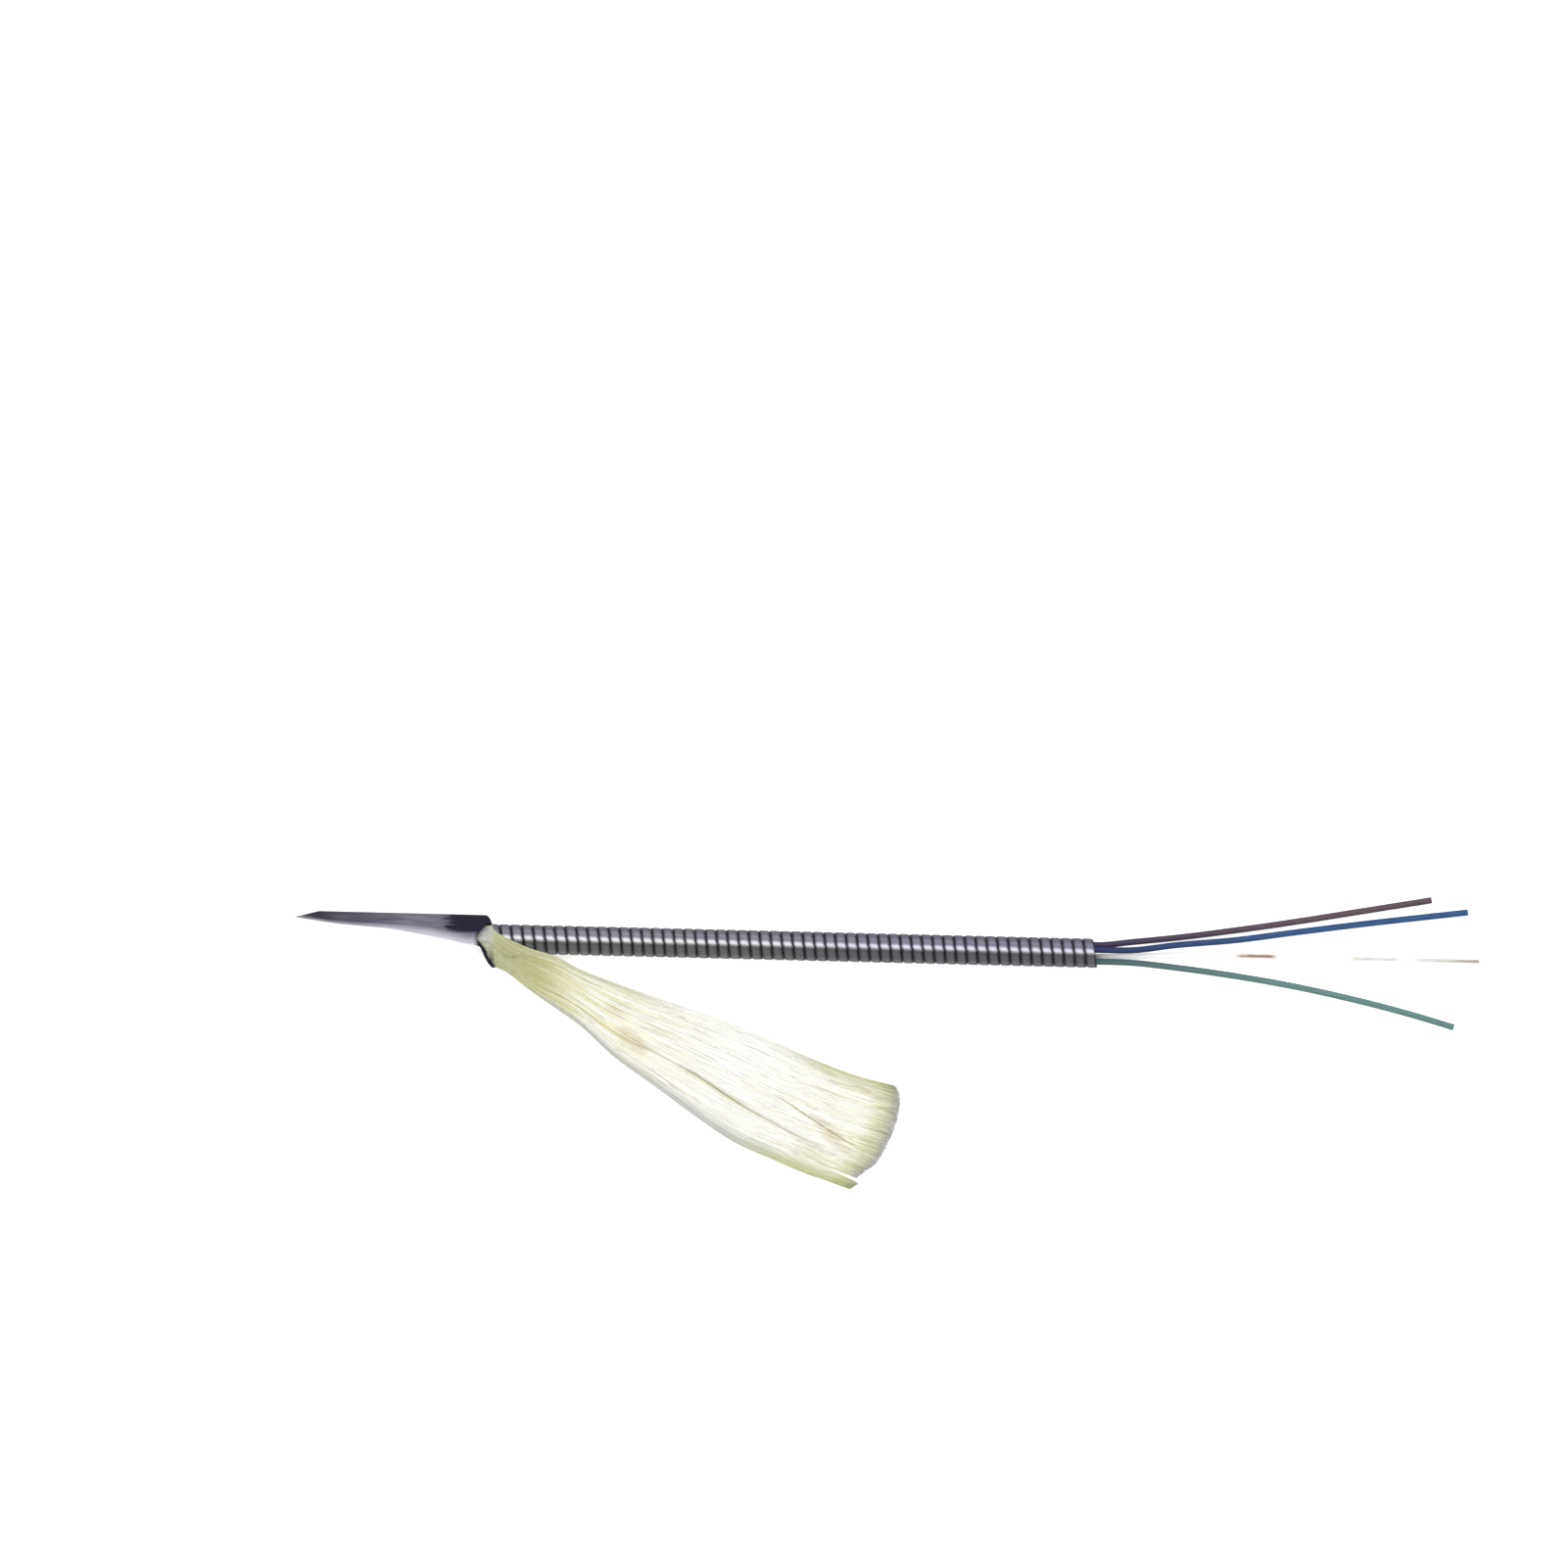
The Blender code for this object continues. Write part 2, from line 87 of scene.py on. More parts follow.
# Spiral armour
ARMOUR_RADIUS = 1.4 * MM
ARMOUR_BORE = 1.15 * MM
ARMOUR_PITCH = 1.03 * MM
ARMOUR_STRIP = 0.99 * MM  # the strip's width, which its two ends are set back by half of
ARMOUR_GAP = 0.05 * MM  # between one turn and the next
ARMOUR_CROWN = 0.09 * MM  # how much lower the strip's edges are than its middle
ARMOUR_CROWN_POWER = 4.0
ARMOUR_CROWN_POINTS = 11
ARMOUR_SHOULDER = 0.98  # the edge's place, as a share of the strip's half width
ARMOUR_FOOT = 0.9  # and the place of its inner corner
ARMOUR_EXPOSED = 58.0 * MM
ARMOUR_INSERTION = 1.45 * MM  # the length that sits inside the jacket's ring
ARMOUR_DROP_LENGTH = 20.0 * MM  # it comes down to the floor over this length
ARMOUR_Z_AT_MOUTH = 2.4 * MM
ARMOUR_START_ANGLE = math.radians(-90)
ARMOUR_SEGMENTS = 40  # in each turn
ARMOUR_SLOPE_STEP = 0.05 * MM

# Tight-buffered fibres
FIBRE_RADIUS = 0.3 * MM
FIBRE_COATING_RADIUS = 0.125 * MM
FIBRE_GLASS_RADIUS = 0.0625 * MM
FIBRE_EDGE = 0.015 * MM  # its cut ends are rounded off by this much
FIBRE_INSERTION = 0.7 * MM  # the length that sits inside the jacket
FIBRE_SEAT_RADIUS = 0.79 * MM  # how far each one lies from the armour's axis
FIBRE_SEAT_POINTS = 16  # guide points along the armour
FIBRE_SIDES = 24
FIBRE_STEP = 0.45 * MM
FIBRE_FREE_FROM = 1.2 * MM  # this far inside the armour's end the free cord starts
# Each fibre's seat as an angle round the armour's axis, its free length, and its route: x from the
# armour's end, y and z, in mm
FIBRES = {
    "brown": {
        "seat": math.radians(8),
        "length": 33.3 * MM,
        "route": [(3.2, 1.15, 1.42), (7.4, 1.66, 1.2), (13.0, 2.49, 0.78), (18.6, 3.42, 0.45),
                  (24.2, 4.44, 0.32), (31.8, 5.84, 0.30)],
    },
    "blue": {
        "seat": math.radians(64),
        "length": 36.9 * MM,
        "route": [(3.2, 0.38, 2.02), (7.4, 0.96, 1.75), (13.0, 1.56, 1.15), (18.6, 2.41, 0.62),
                  (24.2, 3.24, 0.36), (35.3, 4.76, 0.30)],
    },
    "orange": {
        "seat": math.radians(-118),
        "length": 37.7 * MM,
        "route": [(3.2, -0.22, 0.72), (7.4, -0.02, 0.62), (13.0, 0.07, 0.46), (18.6, 0.10, 0.35),
                  (24.2, 0.10, 0.31), (36.5, 0.05, 0.30)],
    },
    "green": {
        "seat": math.radians(180),
        "length": 36.0 * MM,
        "route": [(3.2, -0.82, 1.32), (7.4, -1.18, 1.12), (13.0, -1.83, 0.74), (18.6, -2.67, 0.42),
                  (24.2, -3.75, 0.32), (29.8, -5.05, 0.30), (34.2, -6.25, 0.30)],
    },
}

# What the fibres' looks go by, in mm in the row frame
# painted shade: the fibres are painted darker where they leave the armour
SHADED_STRETCH = (20.0, 38.0)  # they are darker from the armour's end, and clear from there
# the stretch over which the orange fibre's painted shade, painted highlight and tan marks are laid, and the
# y of its line
ORANGE_STRETCH = (20.0, 57.0)
ORANGE_LINE = 8.68

# Aramid yarn: points on its upper and its lower edge as seen from above, in mm
YARN_RIBS = [
    ((0.35, 0.85, 3.66), (0.4, -2.42, 2.8)),
    ((1.0, 0.4, 3.98), (1.1, -2.76, 2.36)),
    ((2.1, -0.12, 3.94), (2.05, -3.33, 1.65)),
    ((3.7, -0.82, 3.78), (3.9, -4.70, 1.35)),
    ((6.1, -1.52, 3.10), (6.4, -6.40, 1.00)),
    ((8.6, -2.75, 2.20), (8.9, -8.10, 0.75)),
    ((12.0, -4.00, 1.35), (12.0, -10.90, 0.55)),
    ((16.1, -5.30, 0.80), (15.9, -13.60, 0.42)),
    ((20.4, -6.60, 0.50), (19.6, -16.20, 0.34)),
    ((25.8, -8.60, 0.36), (23.6, -18.80, 0.30)),
    ((31.3, -10.90, 0.31), (27.6, -20.50, 0.30)),
    ((35.3, -12.30, 0.30), (31.0, -21.90, 0.30)),
    ((38.8, -13.10, 0.30), (33.8, -23.10, 0.30)),
]
YARN_ROVINGS = 7
YARN_THICKNESS_AT_MOUTH = 0.27 * MM
YARN_THICKNESS_AT_END = 0.6 * MM
YARN_CLEARANCE = 0.06 * MM
YARN_ROOT_THINNER = 0.4  # by this share at the upper edge of its root
YARN_TOP_ANGLE = math.radians(148)  # in the mouth, round the bore from the -Y side upwards
YARN_LOW_ANGLE = math.radians(8)
YARN_ROUND_FROM = 0.1 * MM  # it loses its round shape from here
YARN_ROUND_TO = 1.6 * MM
YARN_ROWS_INSIDE = 5
YARN_STEP = 0.3 * MM
YARN_COLUMNS = 141
YARN_END_BULGE = 2.3 * MM  # how much further the middle of the cut end reaches
YARN_BULGE_FROM = 0.86
# How much of that each place across the yarn has
END_REACH = [(0.0, 0.16), (0.06, 0.45), (0.16, 0.7), (0.3, 0.9), (0.5, 1.0), (0.68, 0.95), (0.86, 0.46),
             (1.0, 0.0)]
YARN_TIP_REACH = np.array((1.1, -0.05, 0.0)) * MM  # of the lowest roving
YARN_TIP_FROM = 0.88
# The long fold: its place across the yarn and its depth, at shares of the yarn's length
CREASE = [(0.14, 0.78), (0.25, 0.7), (0.35, 0.68), (0.48, 0.635), (0.58, 0.62), (0.76, 0.68), (1.0, 0.76)]
CREASE_DEPTH = [(0.14, 0.0), (0.2, 0.6), (0.3, 0.6), (0.34, 0.1), (0.42, 0.1), (0.46, 1.0), (0.6, 1.0),
                (0.75, 0.5), (0.85, 0.0)]
CREASE_WIDTH = 0.012
ROVING_APART = 0.5  # of its width, at the lowest one's end
ROVING_APART_FROM = 0.8
ROVING_TOP_POINTS = 56
ROVING_LOW_POINTS = 16
ROVING_STATIONS = 100
ROVING_FLATNESS = 9  # the power that makes its section flat
CORE_NARROWS_FROM = 0.94
CORE_END = 0.972
STRANDS = 300  # in each roving
STRAND_STATIONS = 44
STRAND_SIDES = 3
STRAND_RADII = (0.028 * MM, 0.06 * MM)
STRAND_FLATNESS = 1.35
STRAND_WANDER = ((0.16, 0.8), (0.07, 2.1), (0.025, 5.3))  # shares of a roving's width, and waves
STRAND_FRAY = 0.18 * MM
# Stains: centre in the row frame, half length along the yarn and half width, in mm, and strength
STAINS = [
    (-24.1, -0.8, 2.2, 0.9, 0.75), (-25.8, 1.8, 1.5, 0.6, 0.4), (-5.6, -8.5, 2.6, 0.7, 0.55),
    (-4.4, -10.2, 2.4, 0.6, 0.45), (-1.6, -5.2, 2.2, 0.5, 0.3),
]

# Camera. MOUTH_PIXEL is where the jacket's mouth meets the armour's line in the photograph.
PHOTO_SIDE = 1601
PIXELS_PER_MM = 10.7
MOUTH_PIXEL = (500.5, 958.1)
CAMERA_ROLL = math.radians(1.415)
LENS = 200.0
SENSOR = 36.0
CAMERA_PLANE = 1.5 * MM  # the height at which the scale is exact
CAMERA_CLIP = (0.05, 20.0)

# Floor and light
FLOOR_REACH = 6.0
FLOOR_GLOW = 0.45
ROOM_LIGHT = (0.7, 0.7, 0.7, 1.0)
ROOM_SEEN = (0.95, 0.95, 0.95, 1.0)
# What shiny surfaces mirror: shares of a turn about the cable's line, and how bright it is there
MIRRORED = [
    (0.0, 0.15), (0.12, 0.14), (0.21, 0.13), (0.25, 0.105), (0.29, 0.095), (0.36, 0.1), (0.4, 0.085),
    (0.43, 0.065), (0.455, 0.085), (0.477, 0.175), (0.5, 0.38), (0.525, 0.7), (0.55, 0.78), (0.57, 0.58),
    (0.595, 0.3), (0.62, 0.18), (0.645, 0.18), (0.68, 0.23), (0.71, 0.215), (0.75, 0.15), (0.79, 0.125),
    (0.85, 0.14), (1.0, 0.15),
]
MIRRORED_BLUE = (0.56, 0.9)  # between these it is a little blue
MIRRORED_TINT = 1.15
MIRRORED_STRENGTH = 2.0


def through(points, step):
    """Points about step apart on a smooth curve through the given ones."""
    p = np.array(points, float)
    along = np.concatenate([[0], np.cumsum(np.linalg.norm(np.diff(p, axis=0), axis=1))])
    slope = np.gradient(p, along, axis=0)
    places = np.linspace(0, along[-1], max(2, round(along[-1] / step) + 1))
    i = np.clip(np.searchsorted(along, places, side="right") - 1, 0, len(p) - 2)
    span = (along[i + 1] - along[i])[:, None]
    t = (places - along[i])[:, None] / span
    near = (1 + 2 * t) * (1 - t) ** 2 * p[i] + t * (1 - t) ** 2 * span * slope[i]
    far = t**2 * (3 - 2 * t) * p[i + 1] + t**2 * (t - 1) * span * slope[i + 1]
    return near + far


def unit(v):
    return v / np.maximum(np.linalg.norm(v, axis=-1, keepdims=True), 1e-12)


def smooth(t):
    t = np.clip(t, 0.0, 1.0)
    return t * t * (3 - 2 * t)


def armour_height(x):
    return ARMOUR_Z_AT_MOUTH + smooth(x / ARMOUR_DROP_LENGTH) * (ARMOUR_RADIUS - ARMOUR_Z_AT_MOUTH)


def across_jacket(y, table):
    """Looks up a place across the jacket in one of the tables that are given from +Y to -Y."""
    places, values = zip(*reversed(table), strict=True)
    return np.interp((y - JACKET_Y) / JACKET_RADIUS, places, values)


def mouth_x(y):
    """Where the mouth's edge is on the jacket's lower side."""
    return MOUTH_LIP * across_jacket(y, MOUTH_EDGE)


def rim_x(y):
    """Where it is on the upper side, which is notched."""
    return mouth_x(y) - MOUTH_NOTCH_DEPTH * across_jacket(y, MOUTH_NOTCH)


def mesh_object(name, points, polygons, maps=None):
    """A smooth-shaded object from points, arrays of polygons with equal corners, and UV maps."""
    corners = np.concatenate([p.ravel() for p in polygons]).astype(np.int32)
    sizes = np.concatenate([np.full(len(p), p.shape[1]) for p in polygons])
    mesh = bpy.data.meshes.new(name)
    mesh.vertices.add(len(points))
    mesh.vertices.foreach_set("co", (points + SHIFT).astype(np.float32).ravel())
    mesh.loops.add(len(corners))
    mesh.loops.foreach_set("vertex_index", corners)
    mesh.polygons.add(len(sizes))
    mesh.polygons.foreach_set("loop_start", np.concatenate([[0], np.cumsum(sizes)[:-1]]).astype(np.int32))
    mesh.update(calc_edges=True)
    mesh.validate()
    for key, values in (maps or {}).items():
        layer = mesh.uv_layers.new(name=key)
        layer.data.foreach_set("uv", values[corners].astype(np.float32).ravel())
    mesh.shade_smooth()
    made = bpy.data.objects.new(name, mesh)
    bpy.context.scene.collection.objects.link(made)
    return made


def swept(rings, first=0):
    """Points and polygons of closed tubes; rings is (tubes, stations, sides, 3)."""
    tubes, stations, sides = rings.shape[:3]
    index = first + np.arange(tubes * stations * sides).reshape(tubes, stations, sides)
    a, b = index[:, :-1], index[:, 1:]
    quads = np.stack([a, np.roll(a, -1, axis=2), np.roll(b, -1, axis=2), b], axis=-1)
    caps = np.concatenate([index[:, 0, ::-1], index[:, -1]])
    return rings.reshape(-1, 3), [quads.reshape(-1, 4), caps]


# Materials

class Look:
    """A node material under construction."""

    def __init__(self, name, **values):
        self.material = bpy.data.materials.new(name)
        self.material.use_nodes = True
        self.tree = self.material.node_tree
        self.shader = self.tree.nodes["Principled BSDF"]
        for key, value in values.items():
            self.shader.inputs[key.replace("_", " ")].default_value = value

    def put(self, target, value):
        if isinstance(value, bpy.types.NodeSocket):
            self.tree.links.new(value, target)
        elif isinstance(value, tuple) and len(value) == 3 and target.type == "RGBA":
            target.default_value = (*value, 1.0)
        else:
            target.default_value = value

    def feed(self, **values):
        for key, value in values.items():
            self.put(self.shader.inputs[key.replace("_", " ")], value)

    def node(self, kind):
        return self.tree.nodes.new("ShaderNode" + kind)

    def maths(self, operation, a, b=0.0, c=0.0):
        made = self.node("Math")
        made.operation = operation
        for socket, value in zip(made.inputs, (a, b, c), strict=False):
            self.put(socket, value)
        return made.outputs[0]

    def place(self):
        """The piece's own coordinates in mm: x, y, z."""
        coordinates = self.node("TexCoord")
        scaled = self.node("VectorMath")
        scaled.operation = "SCALE"
        scaled.inputs["Scale"].default_value = 1000.0
        self.put(scaled.inputs[0], coordinates.outputs["Object"])
        split = self.node("SeparateXYZ")
        self.put(split.inputs[0], scaled.outputs[0])
        return split.outputs[0], split.outputs[1], split.outputs[2]

    def uv(self, name):
        made = self.node("UVMap")
        made.uv_map = name
        split = self.node("SeparateXYZ")
        self.put(split.inputs[0], made.outputs[0])
        return split.outputs[0], split.outputs[1]

    def vector(self, x, y=0.0, z=0.0):
        made = self.node("CombineXYZ")
        for socket, value in zip(made.inputs, (x, y, z), strict=True):
            self.put(socket, value)
        return made.outputs[0]

    def noise(self, vector, scale=1.0, detail=2.0, roughness=0.5):
        made = self.node("TexNoise")
        self.put(made.inputs["Vector"], vector)
        made.inputs["Scale"].default_value = scale
        made.inputs["Detail"].default_value = detail
        made.inputs["Roughness"].default_value = roughness
        return made.outputs["Fac"]

    def ramp(self, value, stops):
        made = self.node("ValToRGB")
        self.put(made.inputs[0], value)
        elements = made.color_ramp.elements
        while len(elements) < len(stops):
            elements.new(0.5)
        for element, (position, colour) in zip(elements, stops, strict=True):
            element.position = position
            shade = colour if isinstance(colour, tuple) else (colour, colour, colour)
            element.color = (*shade, 1.0)
        return made.outputs[0]

    def span(self, value, low, high, to_low=0.0, to_high=1.0):
        made = self.node("MapRange")
        for socket, number in zip(made.inputs, (value, low, high, to_low, to_high), strict=False):
            self.put(socket, number)
        return made.outputs[0]

    def mix(self, share, a, b, blend="MIX"):
        made = self.node("Mix")
        made.data_type = "RGBA"
        made.blend_type = blend
        self.put(made.inputs["Factor"], share)
        for key, value in (("A", a), ("B", b)):
            socket = next(s for s in made.inputs if s.name == key and s.type == "RGBA")
            self.put(socket, value)
        return next(s for s in made.outputs if s.type == "RGBA")

    def bump(self, height, distance, strength=1.0):
        made = self.node("Bump")
        made.inputs["Distance"].default_value = distance
        made.inputs["Strength"].default_value = strength
        self.put(made.inputs["Height"], height)
        self.put(self.shader.inputs["Normal"], made.outputs[0])


def srgb(red, green, blue):
    """A colour as seen on a screen, 0 to 255, as linear light."""
    values = [c / 255 for c in (red, green, blue)]
    return tuple(c / 12.92 if c <= 0.04045 else ((c + 0.055) / 1.055) ** 2.4 for c in values)


# Fibres

def fibre_line(seat, route):
    """A fibre's centreline: along the armour at its seat, then free to its cut end."""
    y, z = FIBRE_SEAT_RADIUS * math.cos(seat), FIBRE_SEAT_RADIUS * math.sin(seat)
    step = ARMOUR_EXPOSED / FIBRE_SEAT_POINTS
    places = [step * i - FIBRE_INSERTION for i in range(FIBRE_SEAT_POINTS + 1)]
    points = [(x, y, armour_height(x) + z) for x in [*places, ARMOUR_EXPOSED]]
    points += [(ARMOUR_EXPOSED + a * MM, b * MM, c * MM) for a, b, c in route]
    line = through(points, FIBRE_STEP)
    line[:, 2] = np.maximum(line[:, 2], FIBRE_RADIUS)
    return line


def fibre_tube(name, line, cut_first, cut_last, looks):
    """A round buffer along a line. A cut end shows the coated glass in the buffer's middle."""
    ends = [(0.0, FIBRE_RADIUS - FIBRE_EDGE), (0.0, FIBRE_COATING_RADIUS), (0.0, FIBRE_GLASS_RADIUS)]
    tangents = unit(np.gradient(line, axis=0))
    rings = [(p, t, FIBRE_RADIUS) for p, t in zip(line, tangents, strict=True)]
    if cut_first:
        first = rings[0]
        inward = first[0] + first[1] * FIBRE_EDGE
        rings[0] = (inward, first[1], FIBRE_RADIUS)
        rings = [(first[0], first[1], r) for _, r in reversed(ends)] + rings
    if cut_last:
        last = rings[-1]
        rings[-1] = (last[0] - last[1] * FIBRE_EDGE, last[1], FIBRE_RADIUS)
        rings += [(last[0], last[1], r) for _, r in ends]
    angle = 2 * math.pi * np.arange(FIBRE_SIDES) / FIBRE_SIDES
    made = []
    for p, t, r in rings:
        side = unit(np.cross((0, 0, 1), t))
        up = np.cross(t, side)
        made.append(p + r * (np.cos(angle)[:, None] * side + np.sin(angle)[:, None] * up))
    points, polygons = swept(np.array(made)[None])
    piece = mesh_object(name, points, polygons)
    buffer, coating = looks
    piece.data.materials.append(buffer)
    piece.data.materials.append(coating)
    count = len(rings)
    level = np.repeat(np.arange(count - 1), FIBRE_SIDES)
    inner = np.zeros(len(level) + 2, np.int32)
    if cut_first:
        inner[: len(level)][level < 1] = 1
        inner[-2] = 1
    if cut_last:
        inner[: len(level)][level > count - 3] = 1
        inner[-1] = 1
    piece.data.polygons.foreach_set("material_index", inner)
    piece.data.set_sharp_from_angle(angle=math.radians(50))
    return piece


def buffer_look(colour, main, painted_shade, pale):
    """Extruded plastic with faint drawing marks; painted shade makes it darker where the fibres leave the
    armour.
    """
    look = Look("buffer_" + colour, Roughness=0.42)
    look.shader.inputs["Specular IOR Level"].default_value = 0.35
    x, y, z = look.place()
    marks = look.noise(look.vector(look.maths("MULTIPLY", x, 0.16), y, z), 5.0, 3.0)
    body = look.mix(look.span(marks, 0.35, 0.7, 0.0, 0.35), main, pale)
    # painted shade, strongest at the armour's end
    near = look.span(x, *SHADED_STRETCH, 0.9, 0.0)
    look.feed(Base_Color=look.mix(near, body, painted_shade))
    look.feed(Roughness=look.span(marks, 0.3, 0.7, 0.36, 0.5))
    look.bump(marks, 0.00001, 0.4)
    return look.material


def orange_look():
    """The same plastic, painted almost white as a painted highlight but for a tan stretch and two faint
    ones, with painted shade where it leaves the armour.
    """
    look = Look("buffer_orange", Roughness=0.5)
    look.shader.inputs["Specular IOR Level"].default_value = 0.2
    x, y, z = look.place()
    marks = look.noise(look.vector(look.maths("MULTIPLY", x, 0.16), y, z), 5.0, 3.0)
    pale, faint = srgb(255, 255, 253), srgb(206, 200, 196)
    grey, tan = srgb(150, 144, 130), srgb(146, 116, 98)
    # painted shade at the armour's end, then painted highlight almost white but for the tan and faint
    # stretches
    body = look.ramp(look.span(x, *ORANGE_STRETCH), [
        (0.0, srgb(150, 140, 146)), (0.1, pale), (0.35, pale), (0.375, tan), (0.45, tan), (0.475, pale),
        (0.64, pale), (0.67, faint), (0.77, faint), (0.8, pale), (0.84, faint), (0.98, grey),
    ])
    # painted highlight: past the armour's end the fibre's flanks, away from its line, are painted pale
    off = look.maths("ABSOLUTE", look.maths("SUBTRACT", y, ORANGE_LINE))
    body = look.mix(look.span(off, 0.09, 0.22), body, look.mix(look.span(x, 19.0, 24.0), body, pale))
    look.feed(Base_Color=look.mix(look.span(marks, 0.5, 0.7, 0.0, 0.4), body, pale))
    look.bump(marks, 0.00001, 0.4)
    return look.material


def coated_glass_look():
    look = Look("coated_glass", Roughness=0.25)
    x, y, z = look.place()
    grain = look.noise(look.vector(x, y, z), 20.0)
    look.feed(Base_Color=look.mix(grain, srgb(236, 236, 230), srgb(214, 216, 214)))
    return look.material


COATING = coated_glass_look()
# Each buffer: its colour, its painted shade near the armour's end, and its paler marks
BUFFER_LOOKS = {
    "brown": buffer_look("brown", srgb(80, 65, 74), srgb(50, 46, 74), srgb(110, 92, 100)),
    "blue": buffer_look("blue", srgb(38, 72, 118), srgb(34, 42, 82), srgb(72, 108, 150)),
    "orange": orange_look(),
    "green": buffer_look("green", srgb(86, 120, 116), srgb(66, 88, 92), srgb(122, 152, 148)),
}

for colour, facts in FIBRES.items():
    line = fibre_line(facts["seat"], facts["route"])
    start = int(np.argmin(np.abs(line[:, 0] - (ARMOUR_EXPOSED - FIBRE_FREE_FROM))))
    looks = (BUFFER_LOOKS[colour], COATING)
    held = fibre_tube(f"fibre_{colour}_in_armour", line[: start + 1], True, False, looks)
    free = fibre_tube(f"fibre_{colour}_free_end", line[start:], False, True, looks)
    for piece in (held, free):
        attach(piece, "root")
        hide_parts("fibre_" + colour)


# Camera

def camera_above():
    """Looks straight down, turned until the cable slopes as in the photograph."""
    du, dv = (PHOTO_SIDE / 2 - p for p in MOUTH_PIXEL)
    cos, sin = math.cos(CAMERA_ROLL), math.sin(CAMERA_ROLL)
    aim = np.array((du * cos + dv * sin, du * sin - dv * cos)) / PIXELS_PER_MM * MM + SHIFT[:2]
    width = PHOTO_SIDE / PIXELS_PER_MM * MM
    data = bpy.data.cameras.new("camera")
    data.lens = LENS
    data.sensor_width = SENSOR
    data.clip_start, data.clip_end = CAMERA_CLIP
    camera = bpy.data.objects.new("camera", data)
    camera.location = (aim[0], aim[1], CAMERA_PLANE + width * LENS / SENSOR)
    camera.rotation_euler = (0.0, 0.0, CAMERA_ROLL)
    bpy.context.scene.collection.objects.link(camera)
    bpy.context.scene.camera = camera


camera_above()


# Spiral armour

def armour_strip():
    """The strip's crowned section, wound to the right about +X."""
    start = -ARMOUR_INSERTION + ARMOUR_STRIP / 2
    end = ARMOUR_EXPOSED - ARMOUR_STRIP / 2
    turns = (end - start) / ARMOUR_PITCH
    steps = round(turns * ARMOUR_SEGMENTS)
    half = (ARMOUR_PITCH - ARMOUR_GAP) / 2
    share = np.cos(np.pi * np.arange(ARMOUR_CROWN_POINTS) / (ARMOUR_CROWN_POINTS - 1))
    share = 0.5 * share + 0.5 * np.linspace(1, -1, ARMOUR_CROWN_POINTS)
    crown = [(half * s, ARMOUR_RADIUS - ARMOUR_CROWN * abs(s) ** ARMOUR_CROWN_POWER) for s in share]
    shoulder, foot, low = half * ARMOUR_SHOULDER, half * ARMOUR_FOOT, ARMOUR_RADIUS - ARMOUR_CROWN
    section = [(foot, ARMOUR_BORE), (shoulder, low), *crown[1:-1], (-shoulder, low), (-foot, ARMOUR_BORE)]
    section = np.array(section)
    place = np.linspace(start, end, steps + 1)
    angle = ARMOUR_START_ANGLE + 2 * math.pi * (place - start) / ARMOUR_PITCH
    before, after = armour_height(place - ARMOUR_SLOPE_STEP), armour_height(place + ARMOUR_SLOPE_STEP)
    tilt = np.arctan((after - before) / (2 * ARMOUR_SLOPE_STEP))
    nothing = np.zeros_like(place)
    along = np.stack([np.cos(tilt), nothing, np.sin(tilt)], axis=1)
    up = np.stack([-np.sin(tilt), nothing, np.cos(tilt)], axis=1)
    out = np.cos(angle)[:, None] * np.array((0, 1, 0)) + np.sin(angle)[:, None] * up
    axis = np.stack([place, nothing, armour_height(place)], axis=1)
    rings = axis[:, None] + section[:, 0][None, :, None] * along[:, None]
    rings = rings + section[:, 1][None, :, None] * out[:, None]
    points, polygons = swept(rings[None])
    strip = np.stack(np.broadcast_arrays(place[:, None] / end, 0.5 + 0.5 * section[:, 0] / half), axis=-1)
    piece = mesh_object("armour_strip", points, polygons, {"Strip": strip.reshape(-1, 2)})
    piece.data.set_sharp_from_angle(angle=math.radians(60))
    return piece


def steel_look():
    """Bright rolled strip: fine marks round the tube, and painted shade that deepens towards its edges at
    the grooves.
    """
    look = Look("spiral_steel", Metallic=1.0, Roughness=0.2)
    x, y, z = look.place()
    marks = look.noise(look.vector(look.maths("MULTIPLY", x, 9.0), y, z), 2.0, 4.0, 0.6)
    patches = look.noise(look.vector(x, y, z), 0.8, 3.0)
    base = look.mix(marks, srgb(200, 200, 202), srgb(222, 222, 223))
    base = look.mix(look.span(patches, 0.5, 0.75, 0.0, 0.3), base, srgb(176, 175, 180))
    cool = look.span(x, -14.0, -2.0)
    base = look.mix(cool, base, look.mix(1.0, base, srgb(246, 244, 255), "MULTIPLY"))
    _, across = look.uv("Strip")
    # painted shade: the strip is painted darker towards both edges, where the grooves between turns lie
    off = look.maths("ABSOLUTE", look.maths("SUBTRACT", look.maths("MULTIPLY", across, 2.0), 1.0))
    painted_groove_shade = look.ramp(off, [(0.0, 1.0), (0.45, 1.0), (0.68, 0.66), (0.85, 0.32), (1.0, 0.16)])
    look.feed(Base_Color=look.mix(1.0, base, painted_groove_shade, "MULTIPLY"))
    look.feed(Roughness=look.span(marks, 0.3, 0.7, 0.16, 0.26))
    look.bump(marks, 0.000008, 0.35)
    return look.material


armour = armour_strip()
armour.data.materials.append(steel_look())
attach(armour, "root")
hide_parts("armour_tube")


# Outer jacket

def wave(angle, seed):
    """A slow, small unevenness round the jacket, from -1 to 1."""
    rng = np.random.default_rng(seed)
    turns = np.array([2, 3, 5, 9, 14])
    phases = rng.uniform(0, 2 * math.pi, len(turns))
    sizes = 1 / turns**0.7
    total = sum(s * np.sin(n * angle + p) for n, p, s in zip(turns, phases, sizes, strict=True))
    return total / sizes.sum()


